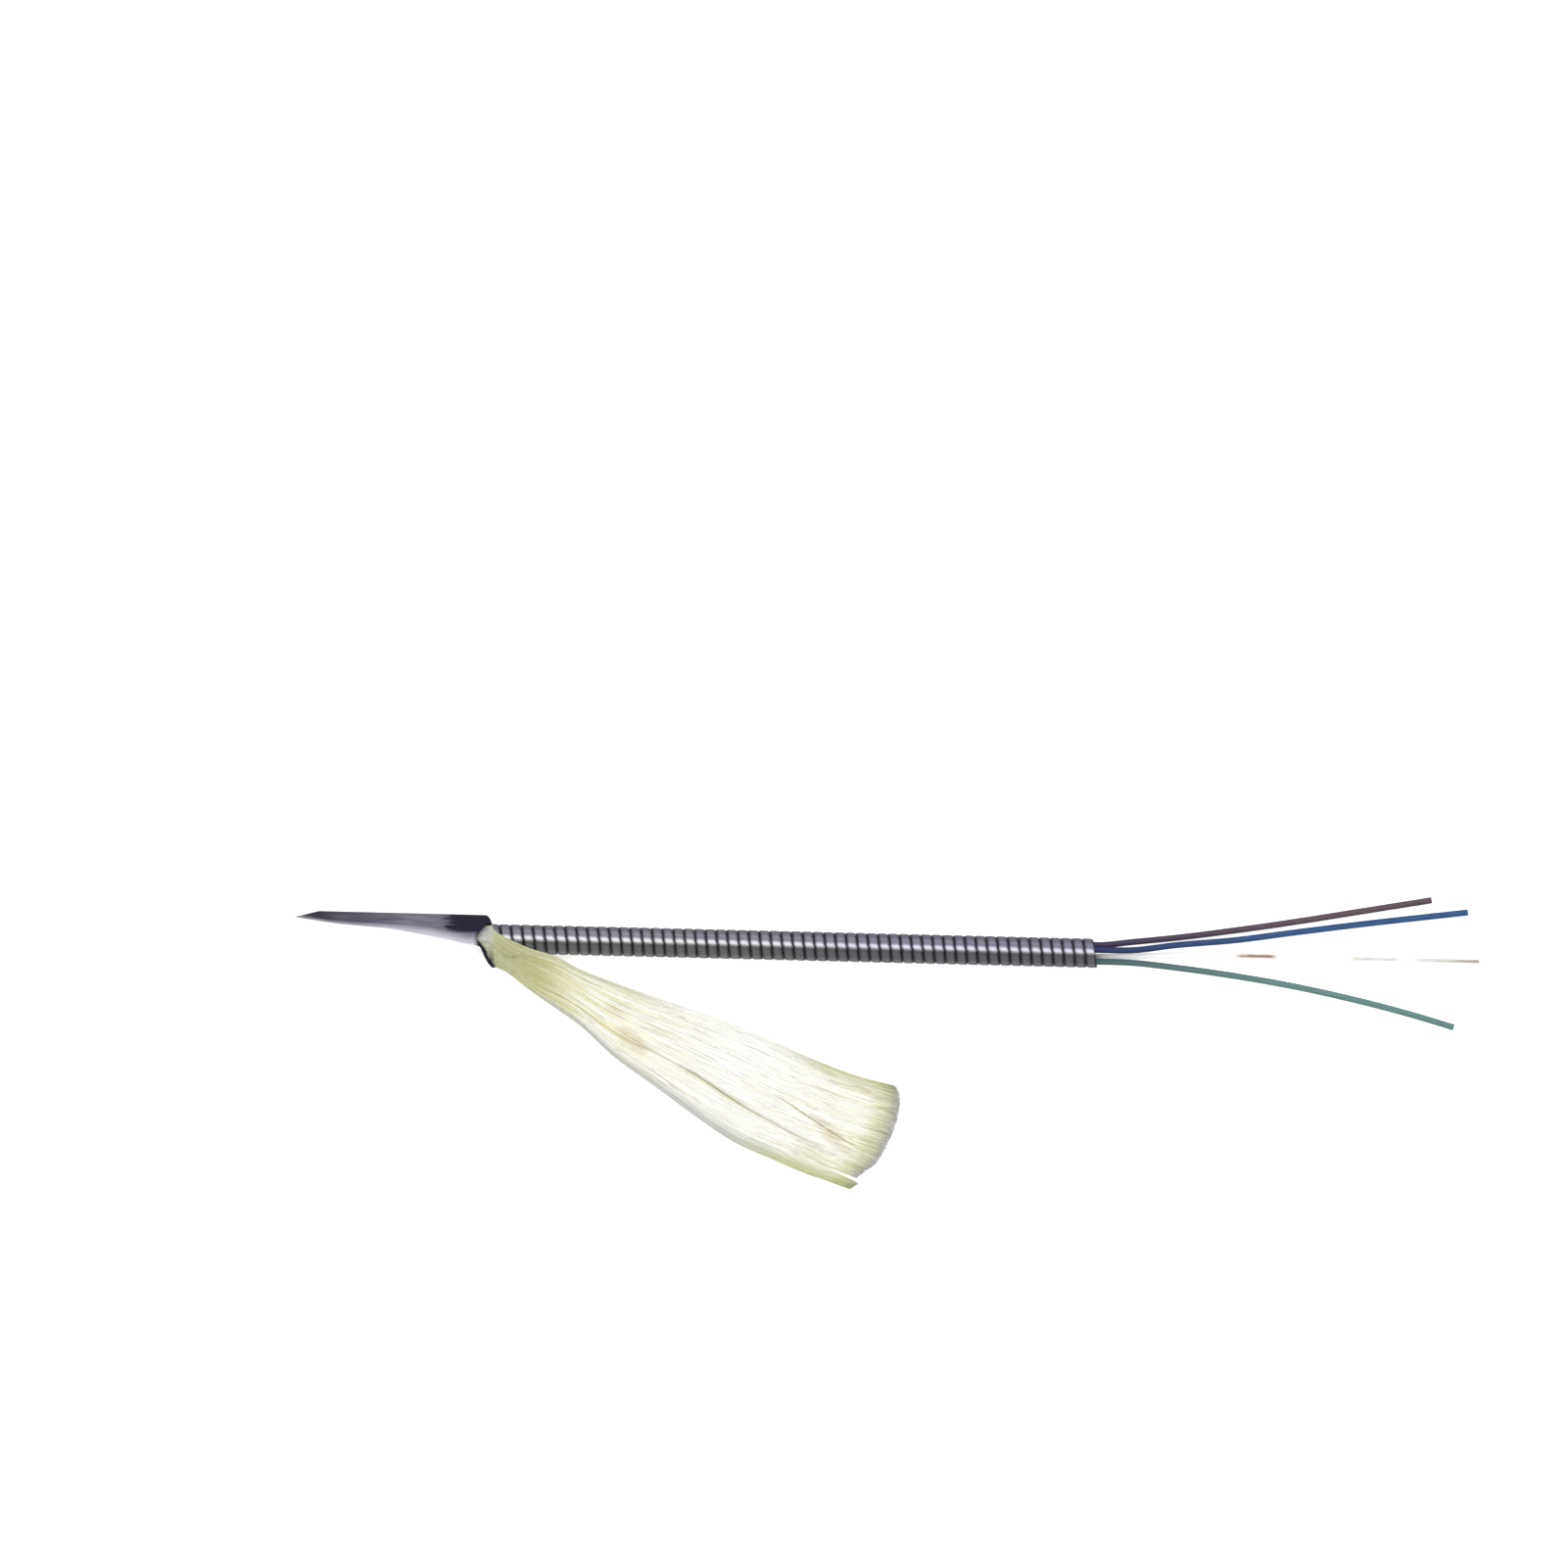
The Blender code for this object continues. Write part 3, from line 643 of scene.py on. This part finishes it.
def jacket_back(y, height):
    """Where the jacket ends at the back: at its narrow ring, its tongue's edge or its nose."""
    edge = through([(-x * JACKET_TAIL, s * JACKET_RADIUS) for x, s in TONGUE_EDGE], TONGUE_STEP)
    tip = [(-x * JACKET_TAIL, s * JACKET_RADIUS) for x, s in TONGUE_TIP]
    share = np.linspace(1.0, (JACKET_Y - edge[-1][1] + RING_WIDTH / 2) / JACKET_RADIUS, RING_POINTS)
    ring_y = JACKET_Y - JACKET_RADIUS * share
    ring_x = rim_x(ring_y) - RING_WIDTH
    known = [*zip(ring_x, ring_y, strict=True), *(tuple(p) for p in edge[::-1]), *tip[::-1]]
    known = sorted(known, key=lambda p: p[1])
    from_above = np.interp(y, [p[1] for p in known], [p[0] for p in known])
    bow = np.sqrt(np.clip(1 - (height / JACKET_RADIUS) ** 2, 0, 1))
    nose = -JACKET_TAIL + NOSE_LENGTH * (1 - bow) - NOSE_SLOPE * (y - JACKET_Y)
    return np.maximum(from_above, nose)


def jacket_ends(angle, radius):
    """Where the wall starts and ends along the cable, at a radius within it."""
    y, height = JACKET_Y + radius * np.cos(angle), radius * np.sin(angle)
    front = np.where(height > 0, rim_x(y), mouth_x(y)) + MOUTH_WAVE * wave(angle, MOUTH_SEED)
    back = jacket_back(y, height) + TONGUE_WAVE * wave(angle, TONGUE_SEED)
    return back, front


def jacket_sleeve():
    """The outside from back to front, the mouth, the bore from front to back, and the tongue's edge."""
    angle = 2 * math.pi * np.arange(JACKET_SIDES) / JACKET_SIDES
    profile = []

    def wall(radius, shares):
        back, front = jacket_ends(angle, radius)
        low, high = back + JACKET_EDGE, front - JACKET_EDGE
        profile.extend((low + (high - low) * share, radius) for share in shares)

    def blunted(radius, into_wall, end, steps):
        for setback, cut in steps:
            r = radius + into_wall * cut * JACKET_EDGE
            inward = (setback, -setback)[end] * JACKET_EDGE
            profile.append((jacket_ends(angle, r)[end] + inward, r))

    def cut_face(end, shares):
        for share in shares:
            r = JACKET_RADIUS + share * (JACKET_BORE - JACKET_RADIUS)
            profile.append((jacket_ends(angle, r)[end], r))

    along, through_wall = np.linspace(0, 1, JACKET_LENGTHWISE), np.linspace(0, 1, 4)[1:-1]
    back, front = 0, 1
    wall(JACKET_RADIUS, along)
    blunted(JACKET_RADIUS, -1, front, JACKET_BLUNTING)
    cut_face(front, through_wall)
    blunted(JACKET_BORE, 1, front, JACKET_BLUNTING[::-1])
    wall(JACKET_BORE, along[::-1])
    blunted(JACKET_BORE, 1, back, JACKET_BLUNTING)
    cut_face(back, through_wall[::-1])
    blunted(JACKET_RADIUS, -1, back, JACKET_BLUNTING[::-1])
    rings = np.stack([
        np.stack([x, JACKET_Y + r * np.cos(angle), JACKET_Z + r * np.sin(angle)], axis=1)
        for x, r in profile
    ], axis=1)
    count = len(profile)
    index = np.arange(JACKET_SIDES * count).reshape(JACKET_SIDES, count)
    after, beside = np.roll(index, -1, axis=0), np.roll(index, -1, axis=1)
    quads = np.stack([index, after, np.roll(after, -1, axis=1), beside], axis=-1).reshape(-1, 4)
    piece = mesh_object("jacket_sleeve", rings.reshape(-1, 3), [quads])
    piece.data.set_sharp_from_angle(angle=math.radians(50))
    return piece


def jacket_look():
    """Black sheath, solid at the mouth; painted highlight turns it grey in streaks along the tongue and
    paints it paler to its lower edge.
    """
    look = Look("jacket_black", Roughness=0.5)
    look.shader.inputs["Specular IOR Level"].default_value = 0.12
    x, y, z = look.place()
    slow = look.maths("MULTIPLY", x, 0.16)
    streaks = look.noise(look.vector(slow, look.maths("MULTIPLY", y, 2.6), z), 2.2, 4.0, 0.65)
    fine = look.noise(look.vector(slow, look.maths("MULTIPLY", y, 7.0), z), 2.0, 3.0)
    # black is the sheath's own colour; pale is the colour of the painted highlight on the tongue's lower
    # edge
    black, pale = srgb(32, 30, 44), srgb(210, 208, 217)
    along = look.span(x, *TONGUE_STRETCH)
    # painted highlight: grey tones that lighten the black tongue towards its tip, laid on in lengthwise
    # streaks
    highlight_greys = look.ramp(along, [
        (0.0, srgb(116, 114, 120)), (0.08, srgb(80, 76, 86)), (0.13, srgb(58, 54, 62)),
        (0.19, srgb(52, 48, 58)), (0.29, srgb(84, 80, 92)), (0.41, srgb(82, 78, 94)),
        (0.55, srgb(98, 94, 110)), (0.69, srgb(114, 110, 126)), (1.0, srgb(112, 108, 122)),
    ])
    highlight_streaked = look.mix(look.span(streaks, 0.36, 0.6, 0.5, 0.0), highlight_greys, black)
    # painted highlight: a pale band along the tongue's lower edge
    edge = look.ramp(look.span(x, *TONGUE_EDGE_STRETCH), [
        (0.0, 0.867), (0.24, 0.683), (0.55, 0.573), (0.79, 0.373), (0.9, 0.267), (1.0, 0.15),
    ])
    edge_y = look.maths("MULTIPLY", edge, TONGUE_EDGE_HIGHEST)
    above = look.maths("SUBTRACT", look.maths("SUBTRACT", y, TONGUE_EDGE_LOWEST), edge_y)
    reach = look.maths("MULTIPLY", 1.2, look.ramp(along, [
        (0.0, 0.33), (0.41, 0.35), (0.6, 0.5), (0.8, 0.8), (1.0, 0.8),
    ]))
    pale_highlight_share = look.maths("MULTIPLY", look.span(above, reach, -0.1), look.span(x, -50.0, -44.0, 0.8, 1.0))
    pale_highlight_share = look.maths("MULTIPLY", pale_highlight_share, look.span(fine, 0.35, 0.6, 0.75, 1.0))
    ragged = look.maths("MULTIPLY", look.maths("SUBTRACT", streaks, 0.5), 6.0)
    solid = look.span(look.maths("ADD", x, ragged), *SOLID_BLACK_FROM)
    upper = look.span(look.maths("ADD", y, look.maths("MULTIPLY", ragged, 0.06)), 9.05, 9.3)
    ring = look.span(x, *RING_BLACK_FROM)
    solid = look.maths("MAXIMUM", look.maths("MULTIPLY", solid, upper), ring)
    colour = look.mix(pale_highlight_share, highlight_streaked, pale)
    look.feed(Base_Color=look.mix(solid, colour, black))
    look.feed(Roughness=look.span(fine, 0.3, 0.7, 0.42, 0.62))
    look.bump(fine, 0.00003, 0.5)
    return look.material


jacket = jacket_sleeve()
jacket.data.materials.append(jacket_look())
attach(jacket, "root")
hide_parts("outer_jacket")


# Aramid yarn

def bore_point(across, thickness):
    """y and z where the yarn lines the jacket's bore."""
    angle = YARN_TOP_ANGLE + across * (YARN_LOW_ANGLE - YARN_TOP_ANGLE)
    radius = JACKET_BORE - YARN_CLEARANCE - thickness / 2
    return np.stack([JACKET_Y - radius * np.cos(angle), JACKET_Z + radius * np.sin(angle)], axis=-1)


def yarn_sheet():
    """The yarn's middle surface: points, directions along and across it, its thickness."""
    ends = [bore_point(np.array(across), YARN_THICKNESS_AT_MOUTH) for across in (0.0, 1.0)]
    mouth = np.concatenate([(mouth_x(end[0]) + YARN_CLEARANCE, *end) for end in ends])
    ribs = [mouth] + [np.concatenate([upper, lower]) * MM for upper, lower in np.array(YARN_RIBS)]
    line = np.concatenate([np.tile(mouth, (YARN_ROWS_INSIDE, 1)), through(ribs, YARN_STEP)])
    share = np.linspace(0, 1, len(line))[:, None]
    across = np.linspace(0, 1, YARN_COLUMNS)[None]
    thickness = YARN_THICKNESS_AT_MOUTH + share * (YARN_THICKNESS_AT_END - YARN_THICKNESS_AT_MOUTH)
    root = (1 - smooth(across / 0.3)) * (1 - smooth(share / 0.1))
    thickness = thickness * (1 - YARN_ROOT_THINNER * root)
    sheet = line[:, None, :3] * (1 - across[..., None]) + line[:, None, 3:] * across[..., None]
    chord = ends[0] * (1 - across[..., None]) + ends[1] * across[..., None]
    arch = bore_point(across, thickness) - chord
    loose = np.clip((sheet[..., 0] - YARN_ROUND_FROM) / (YARN_ROUND_TO - YARN_ROUND_FROM), 0, 1)
    loose[:YARN_ROWS_INSIDE] = 0.0
    sheet[..., 1:] += arch * ((1 - loose) ** 2)[..., None]
    for row in range(YARN_ROWS_INSIDE):
        out = row / YARN_ROWS_INSIDE
        first = np.minimum(rim_x(sheet[row, :, 1]) - RING_WIDTH / 2, sheet[row, :, 0] - RING_WIDTH)
        sheet[row, :, 0] = first * (1 - out) + sheet[row, :, 0] * out
    middle = np.stack([sheet[..., 0], 0 * sheet[..., 0], armour_height(sheet[..., 0])], axis=-1)
    out = sheet - middle
    distance = np.linalg.norm(out, axis=-1)
    least = ARMOUR_RADIUS + YARN_CLEARANCE + thickness / 2
    grow = np.maximum(least / distance, 1)
    sheet = middle + out * grow[..., None]
    along = unit(np.gradient(sheet, axis=0))
    reach = np.interp(across, *zip(*END_REACH))
    bulge = YARN_END_BULGE * reach * smooth((share - YARN_BULGE_FROM) / (1 - YARN_BULGE_FROM))
    tip = smooth((share - YARN_TIP_FROM) / (1 - YARN_TIP_FROM)) * smooth((across - 0.84) / 0.06)
    sheet = sheet + along * bulge[..., None] + tip[..., None] * YARN_TIP_REACH
    along = unit(np.gradient(sheet, axis=0))
    side = unit(np.gradient(sheet, axis=1))
    up = unit(np.cross(side, along))
    return {"point": sheet, "along": along, "side": unit(np.cross(along, up)), "up": up,
            "thickness": thickness[..., None]}


SHEET = yarn_sheet()


def on_sheet(key, share, across):
    """A value of the yarn's middle surface at places given as shares of its length and width."""
    table = SHEET[key]
    rows, columns = table.shape[:2]
    i = np.clip(share, 0, 1) * (rows - 1)
    j = np.clip(across, 0, 1) * (columns - 1)
    i0, j0 = np.minimum(i.astype(int), rows - 2), np.minimum(j.astype(int), columns - 2)
    u, v = (i - i0)[..., None], (j - j0)[..., None]
    near = table[i0, j0] * (1 - v) + table[i0, j0 + 1] * v
    far = table[i0 + 1, j0] * (1 - v) + table[i0 + 1, j0 + 1] * v
    return near * (1 - u) + far * u


def lane(number, local, share):
    """Where a place across a roving is on the sheet. The lowest roving parts from the others."""
    parting = smooth((share - ROVING_APART_FROM) / (1 - ROVING_APART_FROM))
    apart = ROVING_APART * parting if number == YARN_ROVINGS - 1 else 0.0
    return (number + apart + local * (1 - apart)) / YARN_ROVINGS


def crease(share, across):
    """How deep the long fold in the yarn is at a place, from 0 to 1."""
    middle, depth = np.interp(share, *zip(*CREASE)), np.interp(share, *zip(*CREASE_DEPTH))
    return np.exp(-((across - middle) / CREASE_WIDTH) ** 2) * depth


def furrows(number, across, share):
    """Fine lengthwise furrows in a roving's surface, from -1 to 1."""
    rng = np.random.default_rng(40 + number)
    total = 0
    for count in (4, 7, 11, 16, 23):
        phase, drift = rng.uniform(0, 2 * math.pi), rng.uniform(-3, 3)
        total = total + np.sin(2 * math.pi * count * across + phase + drift * share * 2) / count**0.35
    return total / 2.4


def roving_body(number):
    """Rings of the roving's solid core: (stations, sides, 3), with their place on the sheet."""
    share = np.linspace(0, 1, ROVING_STATIONS) ** 0.9 * CORE_END
    top = np.linspace(0.02, 0.98, ROVING_TOP_POINTS)
    low = np.linspace(0.98, 0.02, ROVING_LOW_POINTS)
    local = np.concatenate([top, low])
    upward = np.concatenate([np.ones(len(top)), -np.ones(len(low))])
    narrow = 1 - 0.75 * smooth((share - CORE_NARROWS_FROM) / (CORE_END - CORE_NARROWS_FROM))
    local_at = 0.5 + (local[None] - 0.5) * (0.85 + 0.15 * narrow[:, None])
    share_at = np.broadcast_to(share[:, None], local_at.shape)
    across = lane(number, local_at, share_at)
    arch = (1 - np.abs(2 * local - 1) ** ROVING_FLATNESS) ** 0.5
    height = 0.5 * on_sheet("thickness", share_at, across)[..., 0] * arch[None] * narrow[:, None]
    ripple = 1 + 0.1 * furrows(number, local[None], share_at) * (upward[None] > 0)
    depth = 1 - 0.8 * crease(share_at, across)
    lift = (upward[None] * height * ripple * np.where(upward[None] > 0, depth, 1))[..., None]
    rings = on_sheet("point", share_at, across) + on_sheet("up", share_at, across) * lift
    rings[..., 2] = np.maximum(rings[..., 2], 0.02 * MM)
    return rings, np.stack([across, share_at], axis=-1)


def roving_strands(number):
    """Rings of the loose filament bundles on the roving: (strands, stations, sides, 3)."""
    rng = np.random.default_rng(100 + number)
    count = STRANDS
    t = np.linspace(0, 1, STRAND_STATIONS)[None]
    lowest, beside = number == YARN_ROVINGS - 1, number == YARN_ROVINGS - 2
    local = rng.uniform(0.06 if lowest else -0.12, 0.98 if beside else 1.12, (count, 1))
    start = np.where(rng.random((count, 1)) < 0.25, rng.uniform(0.0, 0.75, (count, 1)), 0.0)
    end = 1.0 - np.abs(rng.normal(0, 0.006, (count, 1)))
    early = rng.random((count, 1)) < 0.2
    end = np.where(early, np.minimum(start + rng.uniform(0.2, 0.6, (count, 1)), end), end)
    share = start + (end - start) * t
    wander = sum(
        rng.normal(0, size, (count, 1)) * np.sin(2 * math.pi * (turns * share + rng.random((count, 1))))
        for size, turns in STRAND_WANDER
    )
    place = local + wander * (0.25 + 0.75 * share)
    across = np.clip(lane(number, place, share), 0.002, 0.998)
    inside = np.clip(across * YARN_ROVINGS - number, 0, 1)
    arch = np.sqrt(np.maximum(1 - np.abs(2 * inside - 1) ** ROVING_FLATNESS, 0.0))
    layer = rng.uniform(0.55, 1.12, (count, 1)) * np.where(rng.random((count, 1)) < 0.12, -0.6, 1.0)
    half = 0.5 * on_sheet("thickness", share, across)[..., 0]
    lift = layer * half * (0.75 + 0.25 * arch)
    lift = lift * np.where(layer > 0, 1 - 0.9 * crease(share, across), 1)
    fray = smooth((share - 0.93) / 0.07) * rng.normal(0, STRAND_FRAY, (count, 1))
    middle = on_sheet("point", share, across)
    up, side = on_sheet("up", share, across), on_sheet("side", share, across)
    middle = middle + up * (lift + fray)[..., None]
    radius = rng.uniform(*STRAND_RADII, (count, 1))
    radius = radius * (0.55 + 0.45 * smooth(share / 0.35))
    radius = radius * np.sqrt(np.clip(np.minimum(t, 1 - t) * 14, 0.08, 1))
    middle[..., 2] = np.maximum(middle[..., 2], radius * 1.1)
    angle = 2 * math.pi * (np.arange(STRAND_SIDES) + 0.25) / STRAND_SIDES
    sweep = side[:, :, None] * np.cos(angle)[None, None, :, None] * STRAND_FLATNESS
    sweep = sweep + up[:, :, None] * np.sin(angle)[None, None, :, None]
    rings = middle[:, :, None] + radius[:, :, None, None] * sweep
    rings[..., 2] = np.maximum(rings[..., 2], 0.004 * MM)
    places = np.stack([across, share], axis=-1)[:, :, None]
    return rings, np.broadcast_to(places, (count, STRAND_STATIONS, STRAND_SIDES, 2))


# olive colours for the yarn's streaks, also laid on as painted shade in its folds
OLIVE, OLIVE_LINE = srgb(204, 200, 150), srgb(170, 165, 124)


def times(look, *values):
    """The product of values that a look's nodes give."""
    product = values[0]
    for value in values[1:]:
        product = look.maths("MULTIPLY", product, value)
    return product


def distance_from(look, value, line):
    return look.maths("ABSOLUTE", look.maths("SUBTRACT", value, line))


def yarn_body(look, across, share, fine):
    """Olive as painted shade at the root, olive again at the cut end with a grey painted shadow at its very
    end, and painted highlight almost white between them, in broad and fine streaks.
    """
    white, olive, line = srgb(255, 255, 252), OLIVE, OLIVE_LINE
    # painted shade olive at the root, painted highlight near white in the middle, painted shadow grey at the
    # cut end
    body = look.ramp(share, [
        (0.0, srgb(184, 185, 140)), (0.08, srgb(184, 184, 136)), (0.16, srgb(192, 191, 132)),
        (0.24, srgb(224, 222, 174)), (0.34, srgb(245, 242, 206)), (0.46, srgb(253, 251, 234)),
        (0.6, srgb(255, 254, 246)), (0.84, srgb(255, 254, 244)), (0.945, srgb(250, 249, 228)),
        (0.965, srgb(232, 233, 196)), (0.982, srgb(220, 221, 194)), (1.0, srgb(205, 202, 209)),
    ])
    root = times(look, look.span(share, 0.02, 0.045, 1.0, 0.0), look.span(across, 0.3, 0.65, 0.9, 0.15))
    body = look.mix(root, body, srgb(196, 198, 192))
    broad = look.vector(look.maths("MULTIPLY", across, 16.0), look.maths("MULTIPLY", share, 5.0), 3.0)
    wide = look.noise(broad, 1.0, 4.0, 0.6)
    olive_streak_share = look.ramp(share, [
        (0.0, 0.35), (0.16, 0.6), (0.26, 1.0), (0.45, 0.55), (0.75, 0.55), (0.95, 0.9),
    ])
    # painted highlight: where the white streaks are laid on
    painted_highlight_share = times(look, look.span(share, 0.15, 0.32, 0.2, 0.9), look.span(share, 0.93, 0.98, 1.0, 0.1))
    colour = look.mix(times(look, look.span(wide, 0.54, 0.36), painted_highlight_share), body, white)
    colour = look.mix(times(look, look.span(wide, 0.55, 0.68, 0.0, 0.6), olive_streak_share), colour, olive)
    colour = look.mix(times(look, look.span(fine, 0.58, 0.74, 0.0, 0.55), olive_streak_share), colour, line)
    return look.mix(times(look, look.span(fine, 0.46, 0.3, 0.0, 0.6), painted_highlight_share), colour, white)


def yarn_folds(look, colour, across, share, x):
    """The shade in the long fold, and in a second and shorter one."""
    off = distance_from(look, across, look.ramp(share, CREASE))
    shaded = look.ramp(look.span(x, -38.0, 2.0), [
        (0.2, 0.0), (0.24, 0.45), (0.33, 0.55), (0.37, 0.0), (0.45, 0.0), (0.49, 1.0), (0.6, 1.0),
        (0.66, 0.45), (0.76, 0.6), (0.82, 0.15),
    ])
    colour = look.mix(times(look, look.span(off, 0.05, 0.0, 0.0, 0.6), shaded), colour, OLIVE)
    colour = look.mix(times(look, look.span(off, 0.014, 0.004, 0.0, 0.7), shaded), colour, OLIVE_LINE)
    second = distance_from(look, across, look.span(x, -9.7, -2.1, 0.45, 0.62))
    there = look.ramp(look.span(x, -12.0, 0.0), [(0.1, 0.0), (0.25, 0.8), (0.7, 0.8), (0.85, 0.0)])
    return look.mix(times(look, look.span(second, 0.012, 0.003), there), colour, OLIVE_LINE)


def yarn_stains(look, colour, x, y, fine):
    """Oval tan stains, turned to lie along the yarn."""
    cos, sin = 0.83, 0.56
    for centre_x, centre_y, half_length, half_width, most in STAINS:
        far = [look.maths("SUBTRACT", value, centre) for value, centre in ((x, centre_x), (y, centre_y))]
        stretch = ((cos / half_length, -sin / half_length), (sin / half_width, cos / half_width))
        turned = [
            look.maths("MULTIPLY_ADD", far[1], b, look.maths("MULTIPLY", far[0], a)) for a, b in stretch
        ]
        squares = [look.maths("MULTIPLY", value, value) for value in turned]
        stain = times(look, look.span(look.maths("ADD", *squares), 1.0, 0.05), most)
        stain = times(look, stain, look.span(fine, 0.35, 0.6, 0.3, 1.0))
        colour = look.mix(stain, colour, srgb(200, 180, 134))
    return colour


def yarn_edge_shadows(look, colour, across, share):
    """Painted shadow along the lower and upper edges: grey, turning olive towards the cut end."""
    low = times(look, look.span(across, 0.86, 0.97, 0.0, 0.85), look.span(share, 0.12, 0.2))
    edge = look.mix(look.span(share, 0.68, 0.84), srgb(192, 192, 187), srgb(192, 196, 142))
    colour = look.mix(low, colour, edge)
    top = times(look, look.span(across, 0.12, 0.02, 0.0, 0.8), look.ramp(share, [
        (0.0, 0.0), (0.1, 0.4), (0.2, 0.9), (0.4, 0.75), (0.5, 0.1), (0.72, 0.1), (0.85, 0.9), (1.0, 0.8),
    ]))
    edge = look.mix(look.span(share, 0.7, 0.85), srgb(192, 192, 164), srgb(192, 194, 146))
    return look.mix(top, colour, edge)


def aramid_look():
    """Silky yellow filaments: olive as painted shade at the root, and painted almost white in the middle as
    a painted highlight.
    """
    look = Look("aramid_filaments", Roughness=0.55)
    look.shader.inputs["Specular IOR Level"].default_value = 0.2
    look.shader.inputs["Sheen Weight"].default_value = 0.15
    look.shader.inputs["Sheen Roughness"].default_value = 0.4
    across, share = look.uv("Yarn")
    x, y, _ = look.place()
    narrow = look.vector(look.maths("MULTIPLY", across, 62.0), look.maths("MULTIPLY", share, 11.0))
    fine = look.noise(narrow, 1.0, 3.0, 0.6)
    colour = yarn_body(look, across, share, fine)
    colour = yarn_folds(look, colour, across, share, x)
    colour = yarn_stains(look, colour, x, y, fine)
    look.feed(Base_Color=yarn_edge_shadows(look, colour, across, share))
    look.feed(Roughness=look.span(fine, 0.3, 0.7, 0.45, 0.65))
    return look.material


ARAMID = aramid_look()
for number in range(YARN_ROVINGS):
    body, body_places = roving_body(number)
    strands, strand_places = roving_strands(number)
    points, polygons = swept(body[None][:, :, ::-1])
    more, more_polygons = swept(strands, len(points))
    points = np.concatenate([points, more])
    places = np.concatenate([body_places[:, ::-1].reshape(-1, 2), strand_places.reshape(-1, 2)])
    lowest = points[:, :2].min(axis=0)
    from_above = (points[:, :2] - lowest) / (points[:, :2] - lowest).max()
    maps = {"Yarn": places, "OFBake": 0.01 + 0.98 * from_above}
    piece = mesh_object(f"aramid_yarn_{number + 1}", points, polygons + more_polygons, maps)
    piece.data.materials.append(ARAMID)
    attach(piece, "root")
    piece.visible_glossy = False
    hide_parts(f"aramid_roving_{number + 1}")


# Floor and light

def floor():
    corners = FLOOR_REACH * np.array([(-1, -1, 0), (1, -1, 0), (1, 1, 0), (-1, 1, 0)]) - SHIFT
    piece = mesh_object("floor", corners, [np.array([[0, 1, 2, 3]])])
    look = Look("floor_white", Roughness=0.7)
    x, y, z = look.place()
    grain = look.noise(look.vector(x, y, z), 0.05, 2.0)
    look.feed(Base_Color=look.mix(grain, (0.9, 0.9, 0.9), (0.93, 0.93, 0.93)))
    look.shader.inputs["Emission Color"].default_value = (1.0, 1.0, 1.0, 1.0)
    look.shader.inputs["Emission Strength"].default_value = FLOOR_GLOW
    piece.data.materials.append(look.material)
    piece.visible_glossy = False


def area_light(name, place, size, radiance, towards):
    data = bpy.data.lights.new(name, "AREA")
    data.shape = "RECTANGLE"
    data.size, data.size_y = size
    data.energy = radiance * math.pi * size[0] * size[1]
    made = bpy.data.objects.new(name, data)
    made.location = place
    direction = np.array(towards) - np.array(place)
    made.rotation_euler = Vector(direction).to_track_quat("-Z", "Y").to_euler()
    made.visible_camera = False
    made.visible_glossy = False
    bpy.context.scene.collection.objects.link(made)


def mirrored_room(tree):
    """Brightness by the angle about the cable's line, as a shiny surface sees it."""
    coordinates = tree.nodes.new("ShaderNodeTexCoord")
    split = tree.nodes.new("ShaderNodeSeparateXYZ")
    tree.links.new(coordinates.outputs["Generated"], split.inputs[0])
    turn = tree.nodes.new("ShaderNodeMath")
    turn.operation = "ARCTAN2"
    tree.links.new(split.outputs[1], turn.inputs[0])
    tree.links.new(split.outputs[2], turn.inputs[1])
    share = tree.nodes.new("ShaderNodeMapRange")
    share.inputs["From Min"].default_value = -math.pi
    share.inputs["From Max"].default_value = math.pi
    tree.links.new(turn.outputs[0], share.inputs["Value"])
    ramp = tree.nodes.new("ShaderNodeValToRGB")
    tree.links.new(share.outputs[0], ramp.inputs[0])
    elements = ramp.color_ramp.elements
    while len(elements) < len(MIRRORED):
        elements.new(0.5)
    for element, (position, level) in zip(elements, MIRRORED, strict=True):
        element.position = position
        tint = MIRRORED_TINT if MIRRORED_BLUE[0] < position < MIRRORED_BLUE[1] else 1.0
        element.color = (level, level, level * tint, 1.0)
    bright = tree.nodes.new("ShaderNodeVectorMath")
    bright.operation = "SCALE"
    bright.inputs["Scale"].default_value = MIRRORED_STRENGTH
    tree.links.new(ramp.outputs[0], bright.inputs[0])
    return bright.outputs[0]


def studio():
    """A pale room, seen as almost white, and one softbox above."""
    world = bpy.data.worlds.new("studio")
    bpy.context.scene.world = world
    world.use_nodes = True
    tree = world.node_tree
    ray = tree.nodes.new("ShaderNodeLightPath")

    def by_ray(kind):
        """A new mix: its colour for other rays, its colour for rays of this kind, and its result."""
        mix = tree.nodes.new("ShaderNodeMix")
        mix.data_type = "RGBA"
        tree.links.new(ray.outputs[kind], mix.inputs["Factor"])
        first, second = (s for s in mix.inputs if s.type == "RGBA")
        return first, second, next(s for s in mix.outputs if s.type == "RGBA")

    diffuse, glossy, lit = by_ray("Is Glossy Ray")
    diffuse.default_value = ROOM_LIGHT
    tree.links.new(mirrored_room(tree), glossy)
    unseen, seen, shown = by_ray("Is Camera Ray")
    tree.links.new(lit, unseen)
    seen.default_value = ROOM_SEEN
    tree.links.new(shown, tree.nodes["Background"].inputs["Color"])
    area_light("softbox", (0.0, 0.11, 0.5), (0.5, 0.42), 3.0, (0.0, 0.0, 0.0))


floor()
studio()
bpy.context.scene.view_settings.view_transform = "Standard"
